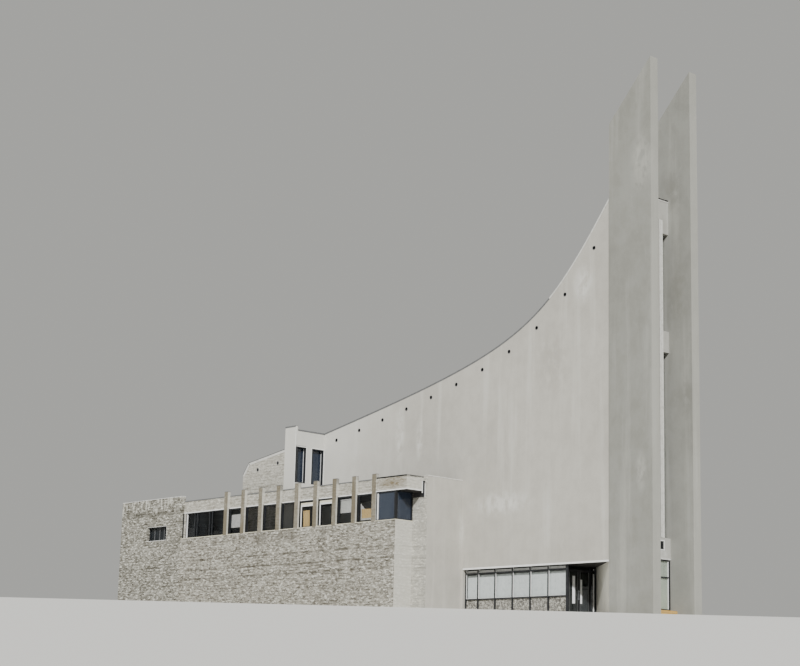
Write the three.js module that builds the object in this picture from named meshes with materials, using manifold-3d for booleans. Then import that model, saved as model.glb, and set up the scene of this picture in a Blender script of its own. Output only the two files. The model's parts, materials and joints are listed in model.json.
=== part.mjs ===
import * as THREE from 'three';
import { mergeVertices } from 'three/addons/utils/BufferGeometryUtils.js';
import Module from 'manifold-3d';

const wasm = await Module();
wasm.setup();

// Modern church building, in millimetres. X runs along the nave towards the tower, +Z is up.
// The tower's open edge is at x = 0, the near fin's outer face at y = 0, and the lowest ground at z = 0.

// Tower of two tall fins with a recessed wall between them
const finWidth = 2560;
const finThickness = 540;
const farFinFront = 2960;
const farFinBack = 3500;
const finLowTop = 23400;
const finPeak = 26230;
const towerWallFace = -1360;
const towerWallBack = -1610;
const towerWallTop = 19880;
const towerSlotWidth = 460;
const slotBottom = 3640;
const slotBridge = [12440, 13460];
const slotTop = 18250;
const towerRoof = [18100, 18400];
const towerWindowHead = 2640;
const towerSill = 280;
const towerStepFront = -1000;
const towerFrame = [-1460, -1400];
const towerTransom = 1830;
const towerSlit = [[1300, 2480], [3100, 3480]];

// Nave walls whose top sweeps up to the tower
const naveWall = 300;
const naveNearFace = 240;
const naveFarFace = 11440;
const naveEnd = -23200;
const curveLowTop = 10377;
const curveLowSlope = 0.192;
const curveLowHandle = 15143;
const curveHighTop = 20030;
const curveHighSlope = 0.932;
const curveHighHandle = 7843;
const curveSteps = 40;
const parapet = 750;
const roofThickness = 280;

// Round outlets through the nave parapets
const outletCount = 11;
const outletFirst = -3700;
const outletPitch = 1850;
const outletBelowTop = 640;
const outletRadius = 88;
const outletSides = 12;

// Floors
const groundFloorTop = 120;
const soffit = 2480;
const hallFloorTop = 2800;
const upperFloor = [3520, 3800];
const lowRoof = [6350, 6600];

// Recessed ribbon window and porch under the near nave wall
const ribbonLeft = -12240;
const ribbonRight = -5420;
const ribbonFront = 400;
const ribbonBack = 470;
const ribbonBay = 1168;
const ribbonPost = 135;
const ribbonPanel = 40;
const returnThickness = 60;
const ribbonSill = 990;
const ribbonTransom = 2256;
const farRibbon = [-20500, -12360];
const porchRight = -2760;
const bar = 60;
const glassThickness = 24;
const rebate = 15;
const glassLap = 60;

// Door screen, a turned frame between the ribbon's end and the splayed porch wall
const screenStart = [-6080, 1040];
const screenEnd = [-5600, 2640];
const screenLength = 1654;
const screenRange = [-35, 35];
const splayThickness = 200;
const doorOpening = [70, 1290];
const doorHead = 2250;
const leafGap = 9;
const meetingGap = 8;
const leafThickness = 45;
const leafBottom = 128;
const leafTop = 2244;
const leafBar = 70;
const leafRail = 160;
const pinRadius = 6;
const pinInset = 8;
const pinBed = 10;
const pinSides = 12;
const seat = 0.3;
const overcut = 50;
const clearAbove = 1000;

// Light scoops and chancel
const smallWall = 250;
const scoopLeft = -24080;
const scoopNear = -1840;
const scoopFrontWall = 150;
const scoopFace = 200;
const scoopRoof = [10010, 10210];
const scoopTop = 10360;
const scoopFrontTop = 10560;
const scoopWindows = [[-1690, -1050], [-650, 200]];
const scoopSill = 7480;
const scoopHead = 9440;
const archHead = 9000;
const scoopBackFoot = 8900;
const chancelLeft = -27680;
const chancelKnee = -27200;
const chancelTops = [9320, 8840, 8200];
const chancelRoofDrop = 100;
const chancelRoofThickness = 250;

// Low wing and west block
const wingFront = -3600;
const westEnd = -36800;
const wingRecess = 180;
const wingSill = 4670;
const wingHead = 6120;
const wingTop = 6800;
const wingFrameDepth = 70;
const wingLeftPier = 220;
const wideWindowBars = [-29640, -28510];
const westTop = 7080;
const westRight = -30900;
const wingCorner = -13120;
const canopyRight = -12380;
const canopyLeft = -14610;
const canopyTop = 6830;
const canopyFoot = 6130;
const canopySetback = 20;
const cornerSetback = 40;
const pierFront = -2430;
const endWallTop = 6940;
const pilasterCount = 9;
const pilasterFirst = -14760;
const pilasterPitch = 1510;
const pilasterWidth = 300;
const pilasterTop = 7030;
const smallWindow = [[-34160, -32280], [4690, 5510]];
const westEndWindows = { first: -1900, pitch: 2400, count: 6, width: 1200 };
const westFarWindows = { first: -35600, pitch: 1900, count: 4, width: 1200 };

// Mirror line of the nave, used for the sides that repeat
const mirror = naveNearFace + naveFarFace;
const farFace = mirror - scoopNear;

const finishes = {
  finRender: [0xa3a39c, 0.9],
  naveRender: [0xb6b5ae, 0.9],
  roughConcrete: [0xa09a8c, 0.95],
  roofing: [0x7c7d7c, 0.85],
  floorConcrete: [0x8f8d88, 0.9],
  darkFrame: [0x17191c, 0.45],
  glass: [0x2a3540, 0.1],
  pebblePanel: [0xc9c7bf, 0.9],
  timber: [0xa9874a, 0.8],
  doorPaint: [0x1b1d20, 0.4],
};

const church = new THREE.Group();
church.position.set(-westEnd / 2, -(wingFront + farFace) / 2, 0);

function finishOf(name) {
  const [color, roughness] = finishes[name];
  return new THREE.MeshStandardMaterial({ color, roughness, metalness: 0 });
}

function addNode(name, geometry, finish, parent = church) {
  const mesh = new THREE.Mesh(geometry, finishOf(finish));
  mesh.name = name;
  parent.add(mesh);
  return mesh;
}

// Box from its limits along each axis
function block([x0, x1], [y0, y1], [z0, z1]) {
  const geometry = new THREE.BoxGeometry(x1 - x0, y1 - y0, z1 - z0);
  geometry.translate((x0 + x1) / 2, (y0 + y1) / 2, (z0 + z1) / 2);
  return geometry;
}

function extruded(points, depth) {
  const shape = new THREE.Shape(points.map(([a, b]) => new THREE.Vector2(a, b)));
  return new THREE.ExtrudeGeometry(shape, { depth, bevelEnabled: false });
}

// Outline in X and Z, given depth along Y
function alongY(points, [y0, y1]) {
  const geometry = extruded(points, y1 - y0);
  geometry.rotateX(Math.PI / 2);
  geometry.translate(0, y1, 0);
  return geometry;
}

// Outline in Y and Z, given depth along X
function alongX(points, [x0, x1]) {
  const geometry = extruded(points, x1 - x0);
  const turn = new THREE.Matrix4().makeBasis(
    new THREE.Vector3(0, 1, 0), new THREE.Vector3(0, 0, 1), new THREE.Vector3(1, 0, 0));
  geometry.applyMatrix4(turn);
  geometry.translate(x0, 0, 0);
  return geometry;
}

// Outline in plan, given height along Z
function alongZ(points, [z0, z1]) {
  const geometry = extruded(points, z1 - z0);
  geometry.translate(0, 0, z0);
  return geometry;
}

function toSolid(geometry) {
  const bare = geometry.clone();
  bare.deleteAttribute('normal');
  bare.deleteAttribute('uv');
  const merged = mergeVertices(bare);
  return new wasm.Manifold(new wasm.Mesh({
    numProp: 3,
    vertProperties: new Float32Array(merged.attributes.position.array),
    triVerts: new Uint32Array(merged.index.array),
  }));
}

function fromSolid(solid) {
  const mesh = solid.getMesh();
  const geometry = new THREE.BufferGeometry();
  geometry.setAttribute('position', new THREE.BufferAttribute(mesh.vertProperties, 3));
  geometry.setIndex(new THREE.BufferAttribute(mesh.triVerts, 1));
  const flat = geometry.toNonIndexed();
  flat.computeVertexNormals();
  return flat;
}

function joined(...geometries) {
  return fromSolid(geometries.map(toSolid).reduce((a, b) => a.add(b)));
}

function common(a, b) {
  return fromSolid(toSolid(a).intersect(toSolid(b)));
}

function cutBy(geometry, cutters) {
  return fromSolid(cutters.map(toSolid).reduce((a, b) => a.subtract(b), toSolid(geometry)));
}

// Cuts square openings through a wall that faces Y, each given by its limits in X and Z
function openedAlongY(geometry, [y0, y1], openings) {
  return cutBy(geometry, openings.map(([x, z]) => block(x, [y0 - overcut, y1 + overcut], z)));
}

// The same through a wall that faces X, each opening given by its limits in Y and Z
function openedAlongX(geometry, [x0, x1], openings) {
  return cutBy(geometry, openings.map(([y, z]) => block([x0 - overcut, x1 + overcut], y, z)));
}

// One opening for each pane of a grid
function paneOpenings(columns, rows) {
  return columns.flatMap((column) => rows.map((row) => [column, row]));
}

function mirrored([y0, y1]) {
  return [mirror - y1, mirror - y0];
}

// Sweep of the nave wall's top, from the chancel end up to the tower
const sweep = new THREE.CubicBezierCurve(
  new THREE.Vector2(naveEnd, curveLowTop),
  new THREE.Vector2(
    naveEnd + curveLowHandle * Math.cos(curveLowSlope),
    curveLowTop + curveLowHandle * Math.sin(curveLowSlope)),
  new THREE.Vector2(
    -finWidth - curveHighHandle * Math.cos(curveHighSlope),
    curveHighTop - curveHighHandle * Math.sin(curveHighSlope)),
  new THREE.Vector2(-finWidth, curveHighTop));

// Points of the sweep moved down square to it, from the chancel end to the tower
function sweepPoints(drop) {
  return Array.from({ length: curveSteps + 1 }, (_, i) => {
    const at = sweep.getPoint(i / curveSteps);
    const along = sweep.getTangent(i / curveSteps);
    return [at.x + along.y * drop, at.y - along.x * drop];
  });
}

// The same, run on straight past the chancel end
function roofPoints(drop) {
  const points = sweepPoints(drop);
  const along = sweep.getTangent(0);
  const [x, z] = points[0];
  return [[x - along.x * parapet, z - along.y * parapet], ...points];
}

// Round outlets set square below the sweep, through a wall between two limits in Y
function outletCutters([y0, y1], rightLimit) {
  const top = sweepPoints(0);
  const places = Array.from({ length: outletCount }, (_, i) => outletFirst - outletPitch * i);
  return places.filter((x) => x < rightLimit).map((x) => {
    const next = top.findIndex(([pointX]) => pointX >= x);
    const [x0, z0] = top[next - 1];
    const [x1, z1] = top[next];
    const slope = (z1 - z0) / (x1 - x0);
    const length = y1 - y0 + 2 * overcut;
    const cutter = new THREE.CylinderGeometry(outletRadius, outletRadius, length, outletSides);
    cutter.translate(x, (y0 + y1) / 2, z0 + slope * (x - x0) - outletBelowTop * Math.hypot(1, slope));
    return cutter;
  });
}

function buildTower() {
  const finOutline = [[-finWidth, 0], [0, 0], [0, finPeak], [-finWidth, finLowTop]];
  addNode('near_fin', alongY(finOutline, [0, finThickness]), 'finRender');
  addNode('far_fin', alongY(finOutline, [farFinFront, farFinBack]), 'finRender');

  const slotLeft = farFinFront - towerSlotWidth;
  const wallOutline = [
    [finThickness, towerWindowHead], [farFinFront, towerWindowHead], [farFinFront, slotBottom],
    [slotLeft, slotBottom], [slotLeft, slotBridge[0]], [farFinFront, slotBridge[0]],
    [farFinFront, slotBridge[1]], [slotLeft, slotBridge[1]], [slotLeft, slotTop], [farFinFront, slotTop],
    [farFinFront, towerWallTop], [finThickness, towerWallTop],
  ];
  const wallRange = [towerWallBack, towerWallFace];
  addNode('tower_wall', openedAlongX(alongX(wallOutline, wallRange), wallRange, [towerSlit]), 'naveRender');

  const between = [finThickness, farFinFront];
  const middle = (finThickness + farFinFront) / 2;
  const columns = [[finThickness + bar, middle - bar / 2], [middle + bar / 2, farFinFront - bar]];
  const rows = [[towerSill + bar, towerTransom - bar / 2], [towerTransom + bar / 2, towerWindowHead - bar]];
  const frame = block(towerFrame, between, [towerSill, towerWindowHead]);
  addNode('tower_window_frame', openedAlongX(frame, towerFrame, paneOpenings(columns, rows)), 'darkFrame');
  addNode('tower_glass', block(
    [towerFrame[0] - glassThickness, towerFrame[0]], between, [towerSill, towerWindowHead]), 'glass');
  const [slitSides, slitLevels] = towerSlit;
  const slitStart = slitSides[0] - glassLap;
  const slitGlassTop = slitLevels[1] + glassLap;
  const slotGlassLeft = slotLeft - glassLap;
  const glassOutline = [
    [slitStart, slitLevels[0] - glassLap], [farFinFront, slitLevels[0] - glassLap],
    [farFinFront, towerRoof[0]], [slotGlassLeft, towerRoof[0]],
    [slotGlassLeft, slitGlassTop], [slitStart, slitGlassTop],
  ];
  const slotGlassRange = [towerWallBack - glassThickness, towerWallBack];
  addNode('tower_slot_glass', alongX(glassOutline, slotGlassRange), 'glass');
  addNode('tower_step', block([towerWallBack, towerStepFront], between, [0, towerSill]), 'timber');
  addNode('tower_roof', block([-finWidth, towerWallBack], between, towerRoof), 'roofing');
}

// Plan of the hall inside its walls, with the diagonal end wall on the far tower side
const farInside = naveFarFace - naveWall;
const nearInside = naveNearFace + naveWall;
const diagonalSum = farFinBack - finWidth;
const diagonalInset = Math.round(naveWall * Math.SQRT2);
const diagonalCorner = diagonalSum - diagonalInset - farInside;
const hallPlan = [
  [naveEnd, nearInside], [-finWidth, nearInside], [-finWidth, diagonalSum - diagonalInset + finWidth],
  [diagonalCorner, farInside], [naveEnd, farInside],
];

function buildNave() {
  const top = sweepPoints(0).reverse();
  const nearOutline = [
    [naveEnd, 0], [ribbonLeft, 0], [ribbonLeft, soffit], [porchRight, soffit], [porchRight, 0],
    [-finWidth, 0], ...top,
  ];
  const nearRange = [naveNearFace, nearInside];
  const nearWall = alongY(nearOutline, nearRange);
  addNode('near_nave_wall', cutBy(nearWall, outletCutters(nearRange, 0)), 'naveRender');

  const farRange = mirrored(nearRange);
  const wholeOutline = [[naveEnd, 0], [-finWidth, 0], ...top];
  const farBox = block([naveEnd, diagonalCorner], farRange, [0, curveHighTop + clearAbove]);
  const farWindow = block(farRibbon, [farRange[0] - overcut, farRange[1] + overcut], [ribbonSill, soffit]);
  const farWall = toSolid(common(alongY(wholeOutline, farRange), farBox));
  const farCutters = [farWindow, ...outletCutters(farRange, diagonalCorner)].map(toSolid);
  addNode('far_nave_wall', fromSolid(farCutters.reduce((a, b) => a.subtract(b), farWall)), 'naveRender');

  const diagonalPlan = [
    [-finWidth, farFinBack], [diagonalSum - naveFarFace, naveFarFace], [diagonalCorner, naveFarFace],
    [diagonalCorner, farInside], [-finWidth, diagonalSum - diagonalInset + finWidth],
  ];
  const sweepBlock = alongY(wholeOutline, [nearInside, naveFarFace]);
  const diagonalPrism = alongZ([...diagonalPlan].reverse(), [0, curveHighTop + clearAbove]);
  addNode('diagonal_end_wall', common(sweepBlock, diagonalPrism), 'naveRender');

  const roofOutline = [...roofPoints(parapet + roofThickness), ...roofPoints(parapet).reverse()];
  const roofSlab = alongY(roofOutline, [nearInside, farInside]);
  const [corner, towerCorner, diagonalStart, diagonalEnd, farCorner] = hallPlan;
  const roofPlan = [
    corner, towerCorner, [diagonalStart[0], diagonalStart[1] - 2 * seat],
    [diagonalEnd[0] - 2 * seat, diagonalEnd[1]], farCorner,
  ];
  addNode('nave_roof', common(roofSlab, alongZ(roofPlan, [0, curveHighTop])), 'roofing');
}

// Plan of the low wing inside its stepped end, from the front corner back to the nave
const innerCorner = [
  [wingCorner - smallWall, pierFront + smallWall], [canopyRight - smallWall, pierFront + smallWall],
  [canopyRight - smallWall, naveNearFace],
];

function buildFloors() {
  const groundPlan = [
    [ribbonLeft, naveNearFace], [porchRight, naveNearFace], [porchRight, nearInside],
    [towerWallBack, nearInside], [towerWallBack, farFinFront], [-finWidth, farFinFront],
    ...hallPlan.slice(2), [naveEnd, nearInside], [ribbonLeft, nearInside],
  ];
  addNode('ground_floor', alongZ(groundPlan, [0, groundFloorTop]), 'floorConcrete');
  addNode('hall_floor', alongZ(hallPlan, [soffit, hallFloorTop]), 'floorConcrete');

  const front = wingFront + smallWall;
  const upperPlan = [
    [westEnd + smallWall, front], [wingCorner - smallWall, front], ...innerCorner, [naveEnd, naveNearFace],
    [naveEnd, scoopNear], [chancelLeft, scoopNear], [chancelLeft, farFace - smallWall],
    [westEnd + smallWall, farFace - smallWall],
  ];
  addNode('upper_floor', alongZ(upperPlan, upperFloor), 'floorConcrete');
}

function ribbonColumns(left, right) {
  const columns = [];
  let end = right - bar;
  while (end - ribbonBay + bar > left) {
    columns.push([end - ribbonBay + bar, end]);
    end -= ribbonBay;
  }
  if (end - left > 2 * bar) {
    columns.push([left + bar, end]);
  }
  return columns;
}

// Plan of the return that runs from the ribbon window's corner post back to the door screen
function ribbonReturnPlan() {
  const run = [screenEnd[0] - screenStart[0], screenEnd[1] - screenStart[1]];
  const [dx, dy] = run.map((step) => step / Math.hypot(...run));
  const [outer, inner] = screenRange.map((across) => [
    screenStart[0] - seat * dx - across * dy, screenStart[1] - seat * dy + across * dx,
  ]);
  const left = ribbonRight - returnThickness;
  return [
    [left, ribbonFront], [ribbonRight, ribbonFront], [ribbonRight, ribbonBack],
    outer, inner, [left, ribbonBack],
  ];
}

function buildRibbon() {
  const range = [ribbonFront, ribbonBack];
  const frame = block([ribbonLeft, ribbonRight], range, [groundFloorTop, soffit]);
  const rows = [
    [groundFloorTop + bar, ribbonSill - bar / 2], [ribbonSill + bar / 2, ribbonTransom - bar / 2],
    [ribbonTransom + bar / 2, soffit - bar / 2],
  ];
  const post = ribbonRight - ribbonPost;
  const panes = paneOpenings(ribbonColumns(ribbonLeft, post + bar), rows);
  const cornerReturn = alongZ(ribbonReturnPlan(), [groundFloorTop, soffit]);
  addNode('ribbon_frame', joined(openedAlongY(frame, range, panes), cornerReturn), 'darkFrame');
  const paneRange = [ribbonLeft, post + rebate];
  const glassRange = [ribbonBack, ribbonBack + glassThickness];
  addNode('ribbon_glass', block(paneRange, glassRange, [ribbonSill, soffit]), 'glass');
  const panelRange = [ribbonBack, ribbonBack + ribbonPanel];
  addNode('ribbon_panels', block(paneRange, panelRange, [groundFloorTop, ribbonSill]), 'pebblePanel');

  const farRange = [farInside + bar, farInside + 2 * bar];
  const farFrame = block(farRibbon, farRange, [ribbonSill, soffit]);
  const farRows = [[ribbonSill + bar, ribbonTransom - bar / 2], [ribbonTransom + bar / 2, soffit - bar]];
  const farPanes = paneOpenings(ribbonColumns(...farRibbon), farRows);
  addNode('far_ribbon_frame', openedAlongY(farFrame, farRange, farPanes), 'darkFrame');
  const farGlass = [farRange[0] - glassThickness, farRange[0]];
  addNode('far_ribbon_glass', block(farRibbon, farGlass, [ribbonSill, soffit]), 'glass');
}

function buildPorch() {
  const splayRun = [screenEnd[0] - porchRight, screenEnd[1] - naveNearFace];
  const splayLength = Math.hypot(...splayRun);
  const inward = [splayRun[1] / splayLength, -splayRun[0] / splayLength];
  const backEnd = [screenEnd[0] + inward[0] * splayThickness, screenEnd[1] + inward[1] * splayThickness];
  const backStart = naveNearFace + splayThickness / inward[1];
  const splayPlan = [[porchRight, naveNearFace], [porchRight, backStart], backEnd, screenEnd];
  addNode('porch_splay_wall', alongZ(splayPlan, [groundFloorTop, soffit]), 'naveRender');

  const screen = new THREE.Group();
  screen.position.set(...screenStart, 0);
  screen.rotation.z = Math.atan2(screenEnd[1] - screenStart[1], screenEnd[0] - screenStart[0]);
  church.add(screen);

  const frameBottom = groundFloorTop + seat;
  const frameTop = soffit - seat;
  const frameOutline = [
    [0, frameBottom], [doorOpening[0], frameBottom], [doorOpening[0], doorHead], [doorOpening[1], doorHead],
    [doorOpening[1], frameBottom], [screenLength, frameBottom], [screenLength, frameTop], [0, frameTop],
  ];
  const sideLight = [doorOpening[1] + bar, screenLength - bar];
  const topLight = [doorHead + bar, frameTop - bar / 2];
  const lights = [
    [[bar, doorOpening[1] - bar / 2], topLight], [sideLight, topLight],
    [sideLight, [groundFloorTop + bar, doorHead]],
  ];
  addNode('porch_door_frame', openedAlongY(
    alongY(frameOutline, screenRange), screenRange, lights), 'darkFrame', screen);
  const glassOutline = [
    [bar - rebate, topLight[0] - rebate], [sideLight[0] - rebate, topLight[0] - rebate],
    [sideLight[0] - rebate, frameBottom], [sideLight[1] + rebate, frameBottom],
    [sideLight[1] + rebate, frameTop], [bar - rebate, frameTop],
  ];
  const glassFront = screenRange[1] + seat;
  addNode('porch_glass', alongY(glassOutline, [glassFront, glassFront + glassThickness]), 'glass', screen);

  const leafWidth = (doorOpening[1] - doorOpening[0] - 2 * leafGap - meetingGap) / 2;
  const half = leafThickness / 2;
  for (const [side, start, pinAt] of [
    ['left', doorOpening[0] + leafGap, doorOpening[0] + leafGap + pinInset],
    ['right', doorOpening[1] - leafGap - leafWidth, doorOpening[1] - leafGap - pinInset],
  ]) {
    const glassHole = [
      [start + leafBar, start + leafWidth - leafBar], [leafBottom + leafRail, leafTop - leafBar],
    ];
    const slab = block([start, start + leafWidth], [-half, half], [leafBottom, leafTop]);
    const leaf = openedAlongY(slab, [-half, half], [glassHole]);
    const pinEnds = [[groundFloorTop + seat, leafBottom + pinBed], [leafTop - pinBed, doorHead - seat]];
    const pins = pinEnds.map(([z0, z1]) => {
      const pin = new THREE.CylinderGeometry(pinRadius, pinRadius, z1 - z0, pinSides);
      pin.rotateX(Math.PI / 2);
      pin.translate(pinAt, -half + pinInset, (z0 + z1) / 2);
      return pin;
    });
    addNode(`${side}_door_leaf`, joined(leaf, ...pins), 'doorPaint', screen);
    const [paneWidth, paneHeight] = glassHole.map(([low, high]) => [low + seat, high - seat]);
    const pane = block(paneWidth, [-glassThickness / 2, glassThickness / 2], paneHeight);
    addNode(`${side}_door_glass`, pane, 'glass', screen);
  }
}

function buildScoops() {
  const sides = [['near', (range) => range], ['far', mirrored]];
  for (const [side, place] of sides) {
    const frontRange = place([scoopNear, scoopNear + scoopFrontWall]);
    const front = block([scoopLeft, naveEnd], frontRange, [0, scoopFrontTop]);
    const faceRange = place([scoopNear + scoopFrontWall, nearInside]);
    const face = block([naveEnd - scoopFace, naveEnd], faceRange, [0, scoopTop]);
    const windows = scoopWindows.map((window) => [place(window), [scoopSill, scoopHead]]);
    const wallRange = [naveEnd - scoopFace, naveEnd];
    addNode(`${side}_scoop`, openedAlongX(joined(front, face), wallRange, windows), 'naveRender');
    const glassRange = place([scoopNear + scoopFrontWall, naveNearFace]);
    addNode(`${side}_scoop_glass`, block(
      [wallRange[0] - glassThickness, wallRange[0]], glassRange,
      [scoopSill - glassLap, scoopHead + glassLap]), 'glass');
  }
  addNode('chancel_beam', block(
    [naveEnd - scoopFace, naveEnd], [nearInside, farInside], [archHead, scoopTop]), 'naveRender');
  const between = [scoopNear + scoopFrontWall, farFace - scoopFrontWall];
  const inside = [scoopLeft + scoopFace, naveEnd - scoopFace];
  addNode('scoop_roof', block(inside, between, scoopRoof), 'roofing');
  addNode('scoop_back_wall', block(
    [scoopLeft, inside[0]], between, [scoopBackFoot, scoopTop]), 'naveRender');
}

function buildChancel() {
  const [topRight, topKnee, topLeft] = chancelTops;
  const sideOutline = [
    [chancelLeft, 0], [scoopLeft, 0], [scoopLeft, topRight], [chancelKnee, topKnee], [chancelLeft, topLeft],
  ];
  const nearRange = [scoopNear, scoopNear + smallWall];
  addNode('chancel_near_wall', alongY(sideOutline, nearRange), 'roughConcrete');
  addNode('chancel_far_wall', alongY(sideOutline, mirrored(nearRange)), 'roughConcrete');

  const inner = [scoopNear + smallWall, farFace - smallWall];
  const endInside = chancelLeft + smallWall;
  const cut = topLeft + (topKnee - topLeft) * smallWall / (chancelKnee - chancelLeft);
  addNode('chancel_end_wall', alongY(
    [[chancelLeft, 0], [endInside, 0], [endInside, cut], [chancelLeft, topLeft]], inner), 'roughConcrete');
  const roofTop = [
    [scoopLeft, topRight - chancelRoofDrop], [chancelKnee, topKnee - chancelRoofDrop], [endInside, cut],
  ];
  const roofFoot = roofTop.map(([x, z]) => [x, z - chancelRoofThickness]).reverse();
  addNode('chancel_roof', alongY([...roofFoot, ...roofTop], inner), 'roofing');
}

function buildWing() {
  const inside = wingFront + smallWall;
  const lowerPlan = [
    [westRight, wingFront], [wingCorner, wingFront], [wingCorner, pierFront],
    [wingCorner - smallWall, pierFront], [wingCorner - smallWall, inside], [westRight, inside],
  ];
  addNode('wing_lower_wall', alongZ(lowerPlan, [0, wingSill]), 'roughConcrete');

  const recessed = wingFront + wingRecess;
  const fascia = block([westRight, canopyLeft], [recessed, recessed + smallWall], [wingHead, wingTop]);
  const frameLeft = westRight + wingLeftPier;
  const leftPier = block([westRight, frameLeft], [recessed, inside], [wingSill, wingHead + overcut]);
  const posts = [];
  for (let i = 0; i < pilasterCount; i += 1) {
    const x = pilasterFirst - pilasterPitch * i;
    posts.push(block(
      [x - pilasterWidth / 2, x + pilasterWidth / 2], [wingFront, recessed], [wingSill, pilasterTop]));
  }
  addNode('wing_fascia', joined(fascia, leftPier, ...posts), 'roughConcrete');

  const frameRange = [recessed, recessed + wingFrameDepth];
  const half = pilasterWidth / 2;
  const lastPilaster = pilasterFirst - pilasterPitch * (pilasterCount - 1);
  const wideBars = [frameLeft + bar / 2, ...wideWindowBars, lastPilaster - half - bar / 2];
  const columns = wideBars.slice(1).map((x, i) => [wideBars[i] + bar / 2, x - bar / 2]);
  for (let x = lastPilaster; x < pilasterFirst; x += pilasterPitch) {
    columns.push([x + half + bar, x + pilasterPitch - half - bar]);
  }
  const frame = block([frameLeft, canopyLeft], frameRange, [wingSill, wingHead]);
  const panes = paneOpenings(columns, [[wingSill + bar, wingHead - bar]]);
  addNode('wing_window_frame', openedAlongY(frame, frameRange, panes), 'darkFrame');
  addNode('wing_glass', block(
    [frameLeft, canopyLeft - bar], [inside, inside + glassThickness],
    [wingSill - rebate, wingHead]), 'glass');

  addNode('corner_canopy', block(
    [canopyLeft, canopyRight], [wingFront + canopySetback, pierFront],
    [canopyFoot, canopyTop]), 'roughConcrete');
  const cornerFront = [wingFront + cornerSetback, wingFront + cornerSetback + bar];
  const cornerSide = [wingCorner - cornerSetback - bar, wingCorner - cornerSetback];
  const cornerHeight = [wingSill, canopyFoot];
  const paneRow = [wingSill + bar, canopyFoot - bar];
  const frontGrid = openedAlongY(
    block([canopyLeft, cornerSide[1]], cornerFront, cornerHeight), cornerFront,
    [[[canopyLeft + bar, cornerSide[0] - bar], paneRow]]);
  const sideGrid = openedAlongX(
    block(cornerSide, [cornerFront[1], pierFront], cornerHeight), cornerSide,
    [[[cornerFront[1] + bar, pierFront - bar], paneRow]]);
  addNode('corner_window_frame', joined(frontGrid, sideGrid), 'darkFrame');
  const glassPlan = [
    [canopyLeft, cornerFront[1]], [cornerSide[0], cornerFront[1]], [cornerSide[0], pierFront],
    [cornerSide[0] - glassThickness, pierFront],
    [cornerSide[0] - glassThickness, cornerFront[1] + glassThickness],
    [canopyLeft, cornerFront[1] + glassThickness],
  ];
  addNode('corner_glass', alongZ(glassPlan, cornerHeight), 'glass');

  addNode('wing_end_pier', block(
    [wingCorner - smallWall, canopyRight], [pierFront, pierFront + smallWall],
    [0, canopyTop]), 'roughConcrete');
  addNode('wing_end_wall', block(
    [canopyRight - smallWall, canopyRight], [pierFront + smallWall, naveNearFace],
    [0, endWallTop]), 'naveRender');

  const roofFront = recessed + smallWall;
  const farInner = farFace - smallWall;
  const roofPlan = [
    [westEnd + smallWall, inside], [westRight, inside], [westRight, roofFront], [canopyLeft, roofFront],
    [canopyLeft, pierFront], [wingCorner - smallWall, pierFront], ...innerCorner, [naveEnd, naveNearFace],
    [naveEnd, scoopNear], [chancelLeft, scoopNear], [chancelLeft, farInner], [westEnd + smallWall, farInner],
  ];
  addNode('low_roof', alongZ(roofPlan, lowRoof), 'roofing');
}

function lapped([low, high]) {
  return [low - glassLap, high + glassLap];
}

// Limits of a row of equal windows
function repeated({ first, pitch, count, width }) {
  return Array.from({ length: count }, (_, i) => [first + pitch * i, first + pitch * i + width]);
}

function buildWestBlock() {
  const inside = wingFront + smallWall;
  const farInner = farFace - smallWall;
  const [windowX, windowZ] = smallWindow;
  const frontRange = [wingFront, inside];
  const front = block([westEnd, westRight], frontRange, [0, westTop]);
  addNode('west_front_wall', openedAlongY(front, frontRange, [smallWindow]), 'roughConcrete');
  addNode('west_front_glass', block(
    lapped(windowX), [inside, inside + glassThickness], lapped(windowZ)), 'glass');

  const row = [wingSill, wingHead];
  const endRange = [westEnd, westEnd + smallWall];
  const end = block(endRange, [inside, farInner], [0, westTop]);
  const endColumns = repeated(westEndWindows);
  addNode('west_end_wall', openedAlongX(end, endRange, paneOpenings(endColumns, [row])), 'roughConcrete');
  const endGlass = lapped([endColumns[0][0], endColumns[endColumns.length - 1][1]]);
  addNode('west_end_glass', block(
    [westEnd + smallWall, westEnd + smallWall + glassThickness], endGlass, lapped(row)), 'glass');

  const farRange = [farInner, farFace];
  const far = block([westEnd, chancelLeft], farRange, [0, westTop]);
  const farColumns = repeated(westFarWindows);
  addNode('west_far_wall', openedAlongY(far, farRange, paneOpenings(farColumns, [row])), 'roughConcrete');
  const farGlass = lapped([farColumns[0][0], farColumns[farColumns.length - 1][1]]);
  addNode('west_far_glass', block(farGlass, [farInner - glassThickness, farInner], lapped(row)), 'glass');
}

buildTower();
buildNave();
buildFloors();
buildRibbon();
buildPorch();
buildScoops();
buildChancel();
buildWing();
buildWestBlock();

export default church;
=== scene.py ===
import json
import math
import random

import bmesh
import bpy
from mathutils import Matrix, Vector


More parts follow.
